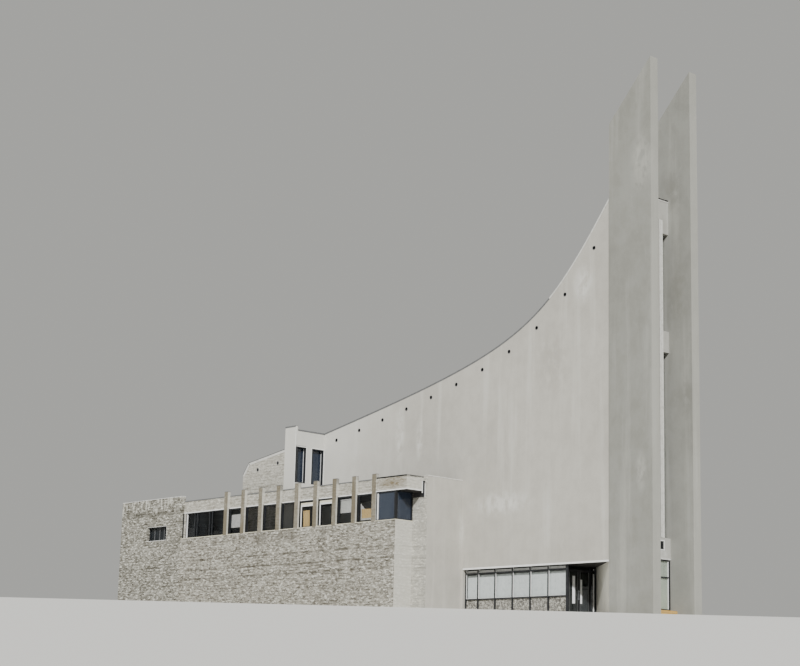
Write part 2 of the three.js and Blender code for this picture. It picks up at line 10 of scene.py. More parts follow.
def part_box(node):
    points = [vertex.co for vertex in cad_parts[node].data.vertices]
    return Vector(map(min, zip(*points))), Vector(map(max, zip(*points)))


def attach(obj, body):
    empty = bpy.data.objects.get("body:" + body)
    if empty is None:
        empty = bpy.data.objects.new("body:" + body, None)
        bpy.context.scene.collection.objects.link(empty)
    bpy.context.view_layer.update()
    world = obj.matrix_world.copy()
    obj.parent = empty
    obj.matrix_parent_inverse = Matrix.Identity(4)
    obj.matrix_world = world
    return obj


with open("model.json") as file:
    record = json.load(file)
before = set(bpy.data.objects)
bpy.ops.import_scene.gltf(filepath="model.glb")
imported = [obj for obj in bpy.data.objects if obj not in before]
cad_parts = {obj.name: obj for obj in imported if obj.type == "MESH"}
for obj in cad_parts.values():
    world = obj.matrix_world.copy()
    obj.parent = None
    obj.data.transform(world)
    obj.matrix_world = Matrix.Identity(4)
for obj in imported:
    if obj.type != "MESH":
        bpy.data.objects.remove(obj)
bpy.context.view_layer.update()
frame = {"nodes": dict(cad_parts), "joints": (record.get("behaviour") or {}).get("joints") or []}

low, high = {}, {}
for node in frame["nodes"]:
    low[node], high[node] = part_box(node)

towerEdge = high["near_fin"].x  # the fins' open edge, where the building's own X starts
frontPlane = low["near_fin"].y  # the near fin's outer face, where its own Y starts
mirrorSum = low["near_nave_wall"].y + high["far_nave_wall"].y


def spot(x, y, z):  # a place given from the fins' open edge and the near fin's outer face
    return Vector((towerEdge + x, frontPlane + y, z))


def mirrored(place):  # the same place on the far side of the nave
    return Vector((place.x, mirrorSum - place.y, place.z))


def shade(red, green, blue):  # a screen colour as a linear one
    return [((part / 255 + 0.055) / 1.055) ** 2.4 for part in (red, green, blue)] + [1]


# Shader maths: an expression on signals adds its Math nodes
class Signal:
    def __init__(self, paint, socket):
        self.paint = paint
        self.socket = socket

    def maths(self, operation, *others):
        return self.paint.add("Math", {"operation": operation}, dict(enumerate((self, *others))))

    def __add__(self, other):
        return self.maths("ADD", other)

    def __sub__(self, other):
        return self.maths("SUBTRACT", other)

    def __rsub__(self, other):
        return self.maths("MULTIPLY", -1).maths("ADD", other)

    def __mul__(self, other):
        return self.maths("MULTIPLY", other)

    def __truediv__(self, other):
        return self.maths("DIVIDE", other)

    __radd__ = __add__
    __rmul__ = __mul__


class Paint:
    def __init__(self, name):
        self.material = bpy.data.materials.new(name)
        self.material.use_nodes = True
        self.tree = self.material.node_tree
        self.shader = self.tree.nodes["Principled BSDF"]
        self.place = self.add("TexCoord", output="Object")
        self.x, self.y, self.z = (
            self.add("SeparateXYZ", sockets={0: self.place}, output=axis) for axis in "XYZ")

    def add(self, kind, settings=None, sockets=None, output=0):
        node = self.tree.nodes.new("ShaderNode" + kind)
        for name, value in (settings or {}).items():
            setattr(node, name, value)
        for name, value in (sockets or {}).items():
            self.feed(node.inputs[name], value)
        return Signal(self, node.outputs[output])

    def feed(self, socket, value):
        if isinstance(value, Signal):
            self.tree.links.new(value.socket, socket)
        else:
            socket.default_value = value

    def noise(self, scale, stretch=(1, 1, 1), detail=4.0, roughness=0.55, shift=(0, 0, 0)):
        place = self.add("Mapping", sockets={"Vector": self.place, "Location": shift, "Scale": stretch})
        return self.add("TexNoise", sockets={
            "Vector": place, "Scale": scale, "Detail": detail, "Roughness": roughness})

    def cells(self, scale, stretch=(1, 1, 1)):
        place = self.add("Mapping", sockets={"Vector": self.place, "Scale": stretch})
        return self.add("TexVoronoi", sockets={"Vector": place, "Scale": scale})

    def rise(self, value, start, end):  # 0 below start, 1 above end, smooth between
        return self.add("MapRange", {"interpolation_type": "SMOOTHSTEP"}, {
            "Value": value, "From Min": start, "From Max": end})

    def veil(self, start, end, *noise, **more):  # 0 to 1 as a noise rises from start to end
        return self.rise(self.noise(*noise, **more), start, end)

    def line(self, value, centre, reach):  # 1 at centre, 0 a reach away
        return 1 - self.rise((value - centre).maths("ABSOLUTE"), 0, reach)

    def patch(self, centre, size):  # 1 at a place, 0 on an ellipsoid of that size round it
        away = self.add("VectorMath", {"operation": "SUBTRACT"}, {0: self.place, 1: spot(*centre)})
        scaled = self.add("VectorMath", {"operation": "DIVIDE"}, {0: away, 1: size})
        return 1 - self.rise(self.add("VectorMath", {"operation": "LENGTH"}, {0: scaled}, "Value"), 0.2, 1)

    def mix(self, colour, *layers):  # each layer is a share and the screen colour that it brings in
        for share, other in layers:
            first = shade(*colour) if isinstance(colour, tuple) else colour
            colour = self.add("Mix", {"data_type": "RGBA"}, {0: share, 6: first, 7: shade(*other)}, 2)
        return colour

    def finish(self, colour, roughness, height=None, depth=0.01, fixed=None):
        self.feed(self.shader.inputs["Base Color"], colour)
        self.feed(self.shader.inputs["Roughness"], roughness)
        if height is not None:
            self.feed(self.shader.inputs["Normal"], self.add("Bump", sockets={
                "Strength": 0.6, "Distance": depth, "Height": height}))
        for name, value in (fixed or {}).items():
            self.shader.inputs[name].default_value = value
        return self.material


# Rendered walls: base, dark and pale tones, and pale and dark patches by place and size
plasterLooks = {
    "finPlaster": {
        "tones": ((146, 146, 139), (125, 124, 116), (184, 183, 175)), "patchShare": 0.45,
        "patches": [((-0.55, 0.0, 21.1), (0.9, 0.5, 1.9)), ((-0.67, 0.0, 6.42), (0.42, 0.5, 1.2))],
        "stains": [((-1.1, 2.96, 20.4), (0.9, 0.3, 1.3)), ((-0.8, 2.96, 15.2), (1.0, 0.3, 2.2)),
                   ((-0.3, 2.96, 10.2), (0.6, 0.3, 1.3))]},
    "navePlaster": {
        "tones": ((186, 183, 174), (167, 163, 153), (216, 215, 208)), "patchShare": 0.7,
        "patches": [((-17.1, 0.24, 9.7), (0.5, 0.6, 2.0)), ((-15.6, 0.24, 9.4), (0.35, 0.6, 1.5)),
                    ((-4.4, 0.24, 15.8), (0.8, 0.6, 1.2)), ((-9.6, 0.24, 5.6), (2.6, 0.6, 0.8)),
                    ((-13.0, 0.24, 4.4), (1.1, 0.6, 1.5))],
        "stains": [((-20.5, 0.24, 8.3), (2.2, 0.4, 0.9)), ((-6.4, 0.24, 12.2), (1.6, 0.4, 2.4))]},
    "towerPlaster": {
        "tones": ((178, 177, 170), (158, 156, 149), (202, 201, 195)), "patchShare": 0.8,
        "patches": [((-1.36, 2.2, 2.9), (0.3, 0.9, 0.3))],
        # a darker patch round the top of the slot
        "stains": [((-1.36, 2.6, 18.5), (0.3, 0.5, 0.9))]},
    "splayPlaster": {
        "tones": ((234, 232, 220), (206, 202, 188), (240, 239, 230)), "patchShare": 0.5,
        "patches": [((-4.0, 1.2, 1.6), (0.9, 0.9, 0.6))], "stains": []},
}


def plaster(name, tones, patchShare, patches, stains):
    base, dark, pale = tones
    paint = Paint(name)
    clouds = paint.veil(0.38, 0.66, 0.22, detail=3.0)
    trowel = paint.veil(0.36, 0.68, 1.5, (1, 1, 0.75), 7.0, 0.64)
    streaks = paint.veil(0.5, 0.74, 1.7, (1, 1, 0.06), 5.0, shift=(3, 1, 7))
    drips = paint.veil(0.56, 0.78, 3.6, (1, 1, 0.05), 4.0, shift=(8, 2, 5))
    worn = paint.veil(0.34, 0.6, 2.7, (1, 1, 0.6), 6.0, 0.62)
    grain = paint.noise(26, detail=3.0)
    foot = (1 - paint.rise(paint.z, 0.0, 1.1)) * paint.noise(2.2, detail=5.0)
    # The fins' open edge faces (+X) are painted paler as painted sunlight; the nave's low end is painted
    # paler too
    paintedLightEdge = paint.rise(paint.x, towerEdge - 0.004, towerEdge - 0.001)
    lowEnd = 1 - paint.rise(paint.x, towerEdge - 23.3, towerEdge - 15)
    colour = paint.mix(
        base, (clouds * 0.3 + trowel * 0.34, dark), (streaks * 0.3, pale), (drips * 0.22, dark),
        *((paint.patch(*area) * worn * patchShare, pale) for area in patches),
        *((paint.patch(*area) * worn * 0.7, dark) for area in stains),
        (foot * 0.6, dark), (paintedLightEdge * 0.4 + lowEnd * 0.65, pale))
    return paint.finish(
        colour, 0.84 + grain * 0.12, trowel * 0.7 + grain * 0.3, 0.012, {"Specular IOR Level": 0.25})


# Board-marked concrete: base and dark tones, how worn and speckled it is, and the heights of its joints
boardLooks = {
    "wallConcrete": {"tones": ((171, 167, 155), (76, 71, 60)), "weather": 0.42, "grit": 0.95,
                     "joints": [3.45, 2.9, 2.4]},
    "westConcrete": {"tones": ((151, 148, 137), (68, 64, 54)), "weather": 0.42, "grit": 0.95,
                     "joints": [3.2, 6.35]},
    "fasciaConcrete": {"tones": ((192, 189, 178), (116, 111, 98)), "weather": 0.36, "grit": 0.7,
                       "joints": []},
    "chancelConcrete": {"tones": ((197, 194, 183), (118, 113, 101)), "weather": 0.24, "grit": 0.66,
                        "joints": [7.45]},
}
boardWidth = 0.15
# white is painted sunlight on the pier and the pilasters' sides, and also whitens the canopy's end face
boardMarks = {"pale": (212, 210, 199), "black": (78, 73, 64), "brown": (122, 110, 86), "tan": (112, 104, 86),
              "white": (206, 204, 194)}


def boardConcrete(name, tones, weather, grit, joints):
    base, dark = tones
    pale, black, brown, tan, white = boardMarks.values()
    paint = Paint(name)
    wander = paint.noise(0.5, detail=2.0) * 0.08
    boards = (paint.z + wander) / boardWidth
    tone = paint.add("TexWhiteNoise", {"noise_dimensions": "1D"}, {"W": boards.maths("FLOOR")}, "Value")
    groove = 1 - paint.rise(boards.maths("FRACT"), 0.0, 0.18)
    dashes = (1 - paint.rise(boards.maths("FRACT"), 0.16, 0.42)) * paint.veil(
        0.51, 0.56, 1.7, (1, 1, 2.2), 6.0, 0.7, (1, 7, 3))
    specks = paint.veil(0.51, 0.58, 4.6, (0.72, 0.72, 2.4), 4.0, 0.78, (3, 6, 1))
    flecks = paint.veil(0.52, 0.6, 5.4, (0.72, 0.72, 2.1), 4.0, 0.78, (9, 1, 5))
    broad = paint.veil(0.4, 0.64, 0.42, (1, 1, 1.5), 4.0)
    mottle = paint.veil(0.42, 0.6, 3.6, (1, 1, 2.6), 9.0, 0.76)
    fine = paint.noise(13, (1, 1, 1.5), 6.0, 0.72, (2, 9, 4))
    streak = paint.veil(0.5, 0.62, 1.5, (1, 1, 9), 8.0, 0.7, (5, 2, 1))
    bloom = paint.veil(0.5, 0.64, 2.3, (1, 1, 1.4), 9.0, 0.74, (11, 4, 9))
    ragged = paint.veil(0.42, 0.6, 1.3, (1, 1, 0.4), 6.0, 0.64)
    pits = 1 - paint.rise(paint.cells(2.6, (1, 1, 1.5)), 0.04, 0.12)
    joint = sum(paint.line(paint.z + wander, z, 0.1) for z in joints)
    colour = paint.mix(
        base, (mottle * weather + broad * 0.14 + tone * 0.1, dark), (streak * weather * 0.8, dark),
        (bloom * 0.4, pale), (specks * grit * 0.8, dark), (flecks * grit, pale), (dashes * grit * 0.7, dark),
        (paint.rise(fine, 0.55, 0.72) * weather, black),
        ((joint * 0.8 + groove * 0.25) * ragged + pits * 0.5, dark))
    # Marks that only one kind of wall has
    if name == "westConcrete":
        runs = paint.veil(0.5, 0.66, 5.0, (1, 1, 0.3), 5.0, 0.6, (7, 3, 2))
        top = paint.rise(paint.z + runs * 0.3, 6.5, 6.68)
        band = paint.line(paint.z + wander, 6.24, 0.16) * 0.3
        colour = paint.mix(colour, (top * runs * 0.7, pale), (band + band * ragged, dark))
    if name == "wallConcrete":
        below = paint.line(paint.z, 4.35, 0.5) * paint.veil(0.48, 0.6, 0.8, (1, 1, 0.5), 5.0)
        # The pier is painted paler as painted sunlight, by a smaller share on the faces at and behind its
        # front line
        pierPaintedLight = paint.rise(paint.x, towerEdge - 13.14, towerEdge - 13.125)
        pierFront = paint.rise(paint.y, frontPlane - 2.47, frontPlane - 2.44)
        colour = paint.mix(colour, (below * 0.5, dark), (pierPaintedLight * (0.75 - pierFront * 0.3), white))
    if name == "fasciaConcrete":
        canopyStain = paint.patch((-13.45, -3.58, 6.53), (1.5, 0.3, 0.42))
        endFace = paint.rise(paint.x, towerEdge - 12.4, towerEdge - 12.385)
        front = 1 - paint.rise(paint.y, frontPlane - 3.598, frontPlane - 3.592)
        side = (1 - paint.rise(paint.y, frontPlane - 3.44, frontPlane - 3.425)) - endFace - front
        posts = paint.rise(towerEdge - 14.6 - paint.x, 0.0, 0.01)
        # the top few centimetres of the faces other than the pilaster fronts are painted darker, ragged
        topDarkBand = paint.rise(paint.z, 6.72, 6.8) * (1 - front) * ragged
        # The pilasters' side faces are painted pale as painted sunlight, and the canopy's end face is
        # painted white
        colour = paint.mix(
            colour, (canopyStain * (0.55 + specks * 0.45), brown),
            (side.maths("MAXIMUM", 0) * posts * 0.6 + endFace * 0.55, white),
            (front * posts * (0.7 + ragged * 0.25), tan), (topDarkBand * 0.6, black))
    height = fine * 0.5 + mottle * 0.3 + tone * 0.2 - groove * 0.4 - pits * 0.8 - joint * ragged * 0.5
    return paint.finish(colour, 0.88 + fine * 0.1, height, 0.02, {"Specular IOR Level": 0.2})


def roofFelt():
    paint = Paint("roofFelt")
    grit = paint.noise(60, detail=2.0)
    worn = paint.veil(0.4, 0.65, 0.5, detail=6.0)
    puddle = paint.veil(0.54, 0.6, 0.24, detail=4.0, shift=(4, 8, 2))
    colour = paint.mix((104, 105, 106), (worn * 0.6 + grit * 0.3, (138, 138, 134)),
                       (puddle * 0.5, (74, 75, 76)))
    return paint.finish(colour, 0.86 + grit * 0.1, grit, 0.004)


def screed():
    paint = Paint("screed")
    cloud = paint.veil(0.36, 0.66, 0.8, detail=6.0)
    grain = paint.noise(24, detail=3.0)
    colour = paint.mix((150, 148, 142), (cloud * 0.5 + grain * 0.2, (118, 116, 110)))
    return paint.finish(colour, 0.7 + grain * 0.2, grain, 0.004)


def pebbleDash():
    paint = Paint("pebbleDash")
    stones = paint.cells(24.0)
    tint = paint.noise(9, detail=3.0)
    colour = paint.mix((176, 174, 164), (paint.rise(tint, 0.4, 0.66), (134, 130, 120)),
                       (paint.rise(stones, 0.42, 0.7) * 0.8, (98, 95, 90)))
    return paint.finish(colour, 0.75 + tint * 0.2, 1 - stones, 0.01)


def pebbleStone():
    paint = Paint("pebbleStone")
    tint = paint.noise(11, detail=1.0)
    speck = paint.noise(70, detail=3.0)
    colour = paint.mix((198, 196, 186), (paint.rise(tint, 0.44, 0.5), (114, 110, 101)),
                       (paint.rise(tint, 0.56, 0.6), (72, 70, 68)))
    return paint.finish(colour, 0.6 + speck * 0.3, speck, 0.002)


def boardTimber():
    paint = Paint("boardTimber")
    grain = paint.veil(0.36, 0.7, 3.0, (14, 1.2, 14), 6.0, 0.6)
    knots = 1 - paint.rise(paint.cells(2.3), 0.03, 0.11)
    colour = paint.mix((206, 170, 98), (grain * 0.7, (158, 120, 62)),
                       (knots * 0.7, (94, 66, 36)))
    return paint.finish(colour, 0.62 + grain * 0.2, grain, 0.004)


def coated(name, colour, worn, roughness, depth=0.001, metallic=0.0):
    paint = Paint(name)
    wear = paint.veil(0.46, 0.7, 5.5, detail=5.0)
    fine = paint.noise(70, detail=2.0)
    shown = paint.mix(colour, (wear * 0.5 + fine * 0.12, worn))
    return paint.finish(shown, roughness + wear * 0.16, fine, depth, {"Metallic": metallic})


def glazing(name, colour, alpha):
    paint = Paint(name)
    dust = paint.veil(0.42, 0.72, 0.9, (1, 1, 0.4), 5.0)
    waves = paint.noise(0.7, detail=1.0)
    shown = paint.mix(colour, (dust * 0.25, (92, 98, 104)))
    return paint.finish(shown, 0.045 + dust * 0.05, waves, 0.004, {"Alpha": alpha, "IOR": 1.5})


def woven(name, colour, shadow, thread=420.0):
    paint = Paint(name)
    weave = (paint.x * thread).maths("SINE") * 0.5 + (paint.z * thread).maths("SINE") * 0.5
    folds = paint.noise(6, (3, 3, 0.2), 3.0)
    shown = paint.mix(colour, (paint.rise(folds, 0.35, 0.7) * 0.45, shadow))
    return paint.finish(shown, 0.85 + folds * 0.1, weave, 0.0008, {"Sheen Weight": 0.15})


coats = {  # colour, worn colour, roughness, and where they aren't usual, depth of grain and share of metal
    "blackMetal": ((26, 28, 31), (52, 54, 57), 0.42), "dullBlack": ((12, 13, 15), (22, 23, 25), 0.8),
    "doorBlack": ((24, 25, 28), (44, 45, 48), 0.36), "whiteTrim": ((236, 236, 234), (204, 203, 198), 0.5),
    "creamTrim": ((224, 219, 196), (190, 184, 160), 0.6),
    "zinc": ((122, 123, 124), (84, 85, 86), 0.5, 0.001, 0.35),
    "paleMetal": ((210, 209, 203), (170, 168, 160), 0.55),
    "steel": ((182, 184, 186), (136, 138, 140), 0.28, 0.001, 0.9),
    # darkBoards: boards whose dark is painted shade under the soffits and the canopy, as well as
    # dark-stained timber
    "darkBoards": ((50, 48, 46), (34, 32, 31), 0.7, 0.004),
    "vanePlastic": ((196, 202, 200), (172, 178, 178), 0.6),
    "doorFilm": ((240, 241, 240), (214, 217, 218), 0.6),
}
panes = {  # colour and alpha
    # The near-opaque dark panes paint the shade of the rooms behind them, and the navy and blue-grey tints
    # are a painted reflection of the sky
    "navyGlass": ((34, 44, 60), 0.82), "cornerPane": ((48, 56, 70), 0.88),
    "windowGlass": ((24, 26, 26), 0.2), "darkGlass": ((26, 30, 33), 0.74),
    # the tower pane's pale green tint is painted light of the sunlit far fin behind it
    "clearGlass": ((120, 130, 124), 0.06), "greenPane": ((206, 218, 200), 0.4),
    "porchPane": ((20, 26, 24), 0.72),
}
cloths = {  # colour, and colour in the folds
    "blindCloth": ((240, 241, 234), (214, 216, 208)), "whiteCurtain": ((234, 234, 228), (196, 196, 188)),
    "yellowCurtain": ((234, 204, 142), (190, 154, 92)),
}
finishes = {"felt": roofFelt(), "floorScreed": screed(), "pebblePanel": pebbleDash(),
            "pebbleStones": pebbleStone(), "timber": boardTimber()}
for make, looks in ((plaster, plasterLooks), (boardConcrete, boardLooks)):
    finishes.update({name: make(name, **look) for name, look in looks.items()})
for make, looks in ((coated, coats), (glazing, panes), (woven, cloths)):
    finishes.update({name: make(name, *look) for name, look in looks.items()})
print("materials made")

nodeFinishes = {
    "finPlaster": "near_fin far_fin",
    "towerPlaster": "tower_wall",
    "navePlaster": "near_nave_wall far_nave_wall diagonal_end_wall near_scoop far_scoop chancel_beam "
                   "scoop_back_wall wing_end_wall",
    "splayPlaster": "porch_splay_wall",
    "chancelConcrete": "chancel_near_wall chancel_far_wall chancel_end_wall",
    "wallConcrete": "wing_lower_wall wing_end_pier",
    "westConcrete": "west_front_wall west_end_wall west_far_wall",
    "fasciaConcrete": "wing_fascia corner_canopy",
    "felt": "tower_roof nave_roof scoop_roof chancel_roof low_roof",
    "floorScreed": "ground_floor hall_floor upper_floor",
    "pebblePanel": "ribbon_panels",
    "timber": "tower_step",
    "doorBlack": "left_door_leaf right_door_leaf",
    "greenPane": "tower_glass",
    "clearGlass": "tower_slot_glass ribbon_glass far_ribbon_glass",
    "porchPane": "porch_glass left_door_glass right_door_glass",
    "navyGlass": "near_scoop_glass far_scoop_glass",
    "cornerPane": "corner_glass",
    "darkGlass": "west_front_glass west_end_glass west_far_glass",
    "windowGlass": "wing_glass",
    "blackMetal": "tower_window_frame ribbon_frame far_ribbon_frame porch_door_frame wing_window_frame "
                  "corner_window_frame",
}
for finish, nodes in nodeFinishes.items():
    for node in nodes.split():
        for holder in frame["nodes"][node].material_slots:
            holder.material = finishes[finish]
print("frame nodes painted")

# Making pieces: each takes its finish as a material and hangs from a body
fromEdge = Matrix.Translation(spot(0, 0, 0))


def about(place, start, end):  # limits given from a place
    return place + start, place + end


def inset(limits, edge):  # limits drawn in at both ends
    return limits[0] + edge, limits[1] - edge


def axesAt(across, up, ahead, place):
    turn = Matrix((across, up, ahead)).transposed().to_4x4()
    turn.translation = place
    return turn


def barInto(mesh, xs, ys, zs, bevel=0.0, turn=fromEdge):
    size = [end - start for start, end in (xs, ys, zs)]
    middle = Vector([(start + end) / 2 for start, end in (xs, ys, zs)])
    place = turn @ Matrix.Translation(middle) @ Matrix.Diagonal((*size, 1))
    corners = bmesh.ops.create_cube(mesh, size=1, matrix=place)["verts"]
    if bevel:
        edges = {edge for corner in corners for edge in corner.link_edges}
        bmesh.ops.bevel(
            mesh, geom=list(edges), offset=bevel, affect="EDGES", segments=2, profile=0.5, material=-1)


def sweptInto(mesh, outline, places):  # an outline carried through a row of places, closed at both ends
    end = mesh.faces.new([mesh.verts.new(places[0] @ Vector((across, up, 0))) for across, up in outline])
    for before, after in zip(places, places[1:]):
        grown = bmesh.ops.extrude_face_region(mesh, geom=[end])["geom"]
        moved = [part for part in grown if isinstance(part, bmesh.types.BMVert)]
        end = next(part for part in grown if isinstance(part, bmesh.types.BMFace)
                   and all(corner in moved for corner in part.verts))
        bmesh.ops.transform(mesh, matrix=after @ before.inverted(), verts=moved)


def placesAlong(points):  # across is level and square to the run, up is square to both
    places = []
    for i, point in enumerate(points):
        ahead = (points[min(i + 1, len(points) - 1)] - points[max(i - 1, 0)]).normalized()
        across = Vector((0, 0, 1)).cross(ahead).normalized()
        places.append(axesAt(across, ahead.cross(across), ahead, point))
    return places


def ringInto(mesh, centre, inner, outer, start, end, steps=20):  # a ring about a line along Y
    corners = [mesh.verts.new((centre.x + radius, y, centre.z))
               for radius, y in ((inner, start), (outer, start), (outer, end), (inner, end))]
    edges = [mesh.edges.new((a, b)) for a, b in zip(corners, corners[1:] + corners[:1])]
    bmesh.ops.spin(mesh, geom=corners + edges, cent=centre, axis=(0, 1, 0), angle=math.tau,
                   steps=steps, use_merge=True, use_duplicate=False)


def toScene(name, data):
    made = bpy.data.objects.new(name, data)
    bpy.context.scene.collection.objects.link(made)
    return made


def toPiece(mesh, name, finish, body="building"):
    bmesh.ops.recalc_face_normals(mesh, faces=mesh.faces)
    data = bpy.data.meshes.new(name)
    mesh.to_mesh(data)
    mesh.free()
    data.materials.append(finishes[finish])
    piece = toScene(name, data)
    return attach(piece, body)


def barsPiece(name, finish, bars, bevel=0.002, turn=fromEdge, body="building"):  # bars by their limits
    mesh = bmesh.new()
    for bar in bars:
        barInto(mesh, *bar, bevel, turn)
    return toPiece(mesh, name, finish, body)


def surround(span, heights, bar, shy):  # four bars round an opening, as limits across and up
    rails, posts = inset(span, bar), inset(heights, shy)
    return [(about(span[0], 0.001, bar), posts), (about(span[1], -bar, -0.001), posts),
            (rails, about(heights[0], 0.001, bar)), (rails, about(heights[1], -bar, -0.001))]


# Sheet-metal copings with a drip on both sides
coping = {"overhang": 0.015, "sheet": 0.012, "rise": 0.02, "drip": 0.055}


def capInto(mesh, points, width, overhang=coping["overhang"], drip=coping["drip"]):
    half, sheet, rise = width / 2 + overhang, coping["sheet"], coping["rise"]
    if overhang > 0:
        outline = [
            (-half, -drip), (-half, rise), (half, rise), (half, -drip), (half - sheet, -drip),
            (half - sheet, 0.001), (sheet - half, 0.001), (sheet - half, -drip)]
    else:
        outline = [(-half, 0.001), (-half, rise), (half, rise), (half, 0.001)]
    sweptInto(mesh, outline, placesAlong(points))


def capsPiece(name, finish, runs, width, overhang=coping["overhang"], drip=coping["drip"]):
    mesh = bmesh.new()
    for run in runs:
        capInto(mesh, run, width, overhang, drip)
    toPiece(mesh, name, finish)


# The sweep of the nave walls' top, as a Bezier curve in X and Z
sweepShape = {"lowTop": 10.377, "lowSlope": 0.192, "lowHandle": 15.143, "highTop": 20.03,
              "highSlope": 0.932, "highHandle": 7.843, "steps": 40}


def sweepPoint(share):
    start = Vector((low["near_nave_wall"].x, sweepShape["lowTop"]))
    end = Vector((low["near_fin"].x, sweepShape["highTop"]))
    first, last = sweepShape["lowSlope"], sweepShape["highSlope"]
    startHandle = start + Vector((math.cos(first), math.sin(first))) * sweepShape["lowHandle"]
    endHandle = end - Vector((math.cos(last), math.sin(last))) * sweepShape["highHandle"]
    rest = 1 - share
    return (start * rest ** 3 + startHandle * (3 * rest * rest * share)
            + endHandle * (3 * rest * share * share) + end * share ** 3)


sweep = [sweepPoint(i / sweepShape["steps"]) for i in range(sweepShape["steps"] + 1)]


def sweepHeight(x):
    for before, after in zip(sweep, sweep[1:]):
        if after.x >= x:
            return before.y + (after.y - before.y) * (x - before.x) / (after.x - before.x)
    return sweep[-1].y


nave = {"wall": 0.30, "parapet": 0.75, "lapWidth": 0.09, "lapRise": 0.006, "paleFrom": 6.5}
naveNear, naveFar = low["near_nave_wall"].y, high["far_nave_wall"].y
diagonalSum = towerEdge + frontPlane + 0.94  # X and Y of the diagonal end wall's outer face add up to this


def naveCopings():
    wall, turnX = nave["wall"], high["far_nave_wall"].x
    farLine = naveFar - wall / 2
    middle = diagonalSum - wall / 2 * math.sqrt(2)
    near = [Vector((p.x, naveNear + wall / 2, p.y)) for p in sweep]
    turnAt = sum(point.x <= towerEdge - nave["paleFrom"] for point in near)
    far = [Vector((p.x, farLine, p.y)) for p in sweep if p.x < turnX]
    far.append(Vector((turnX, farLine, sweepHeight(turnX))))
    diagonal = [Vector((p.x, middle - p.x, p.y)) for p in sweep if middle - p.x < farLine]
    capsPiece("nave_copings", "zinc", [near[:turnAt], far, diagonal], wall)
    capsPiece("nave_high_coping", "paleMetal", [near[turnAt - 1:]], wall)


outlets = {"count": 11, "first": -3.7, "pitch": 1.85, "below": 0.64, "radius": 0.088, "rim": 0.012,
           "proud": 0.012, "bed": 0.004, "sleeve": 0.006}


def outletRims(count, first, pitch, below, radius, rim, proud, bed, sleeve):
    mesh, sleeves = bmesh.new(), bmesh.new()
    inner, outer, hidden = radius - sleeve, radius + rim, about(naveNear, -0.002, nave["wall"] - 0.01)
    for i in range(count):
        x = towerEdge + first - pitch * i
        slope = (sweepHeight(x + 0.05) - sweepHeight(x - 0.05)) / 0.1
        centre = Vector((x, 0, sweepHeight(x) - below * math.hypot(1, slope)))
        ringInto(mesh, centre, inner, outer, *about(naveNear, -proud, bed))
        ringInto(sleeves, centre, *about(inner, -0.002, 0.001), *hidden)
        if x < high["far_nave_wall"].x:
            ringInto(mesh, centre, inner, outer, *about(naveFar, -bed, proud))
    toPiece(mesh, "outlet_rims", "zinc")
    toPiece(sleeves, "outlet_sleeves", "blackMetal")


def naveRoofLaps():
    mesh = bmesh.new()
    wall = nave["wall"]
    for before, after in list(zip(sweep, sweep[1:]))[2::2]:
        ahead = (after - before).normalized()
        x = before.x + ahead.y * nave["parapet"]
        z = before.y - ahead.x * nave["parapet"]
        end = min(naveFar - wall, diagonalSum - wall * math.sqrt(2) - x - 0.05)
        turn = Matrix.Translation((x, 0, z)) @ Matrix.Rotation(-math.atan2(ahead.y, ahead.x), 4, "Y")
        barInto(mesh, (0, nave["lapWidth"]), (naveNear + wall, end), (-0.002, nave["lapRise"]), turn=turn)
    toPiece(mesh, "nave_roof_laps", "felt")


naveCopings()
outletRims(**outlets)
naveRoofLaps()
print("nave dressed")

# Tower: cap, bright strip beside the slot, slit louvre, window sill, glazing bars and timber step
tower = {"face": -1.36, "back": -1.61, "inner": (0.54, 2.96), "top": 19.88,
         "slit": ((1.30, 2.48), (3.10, 3.48)), "rim": 0.045, "slats": 5, "slatPitch": 0.072,
         "strip": ((2.25, 2.495), (3.64, 18.9)), "proud": 0.016, "sill": 0.28, "head": 2.64, "step": -1.0,
         "boards": 3, "boardPitch": 0.09, "treads": 2, "treadPitch": 0.113, "frameFront": -1.4}


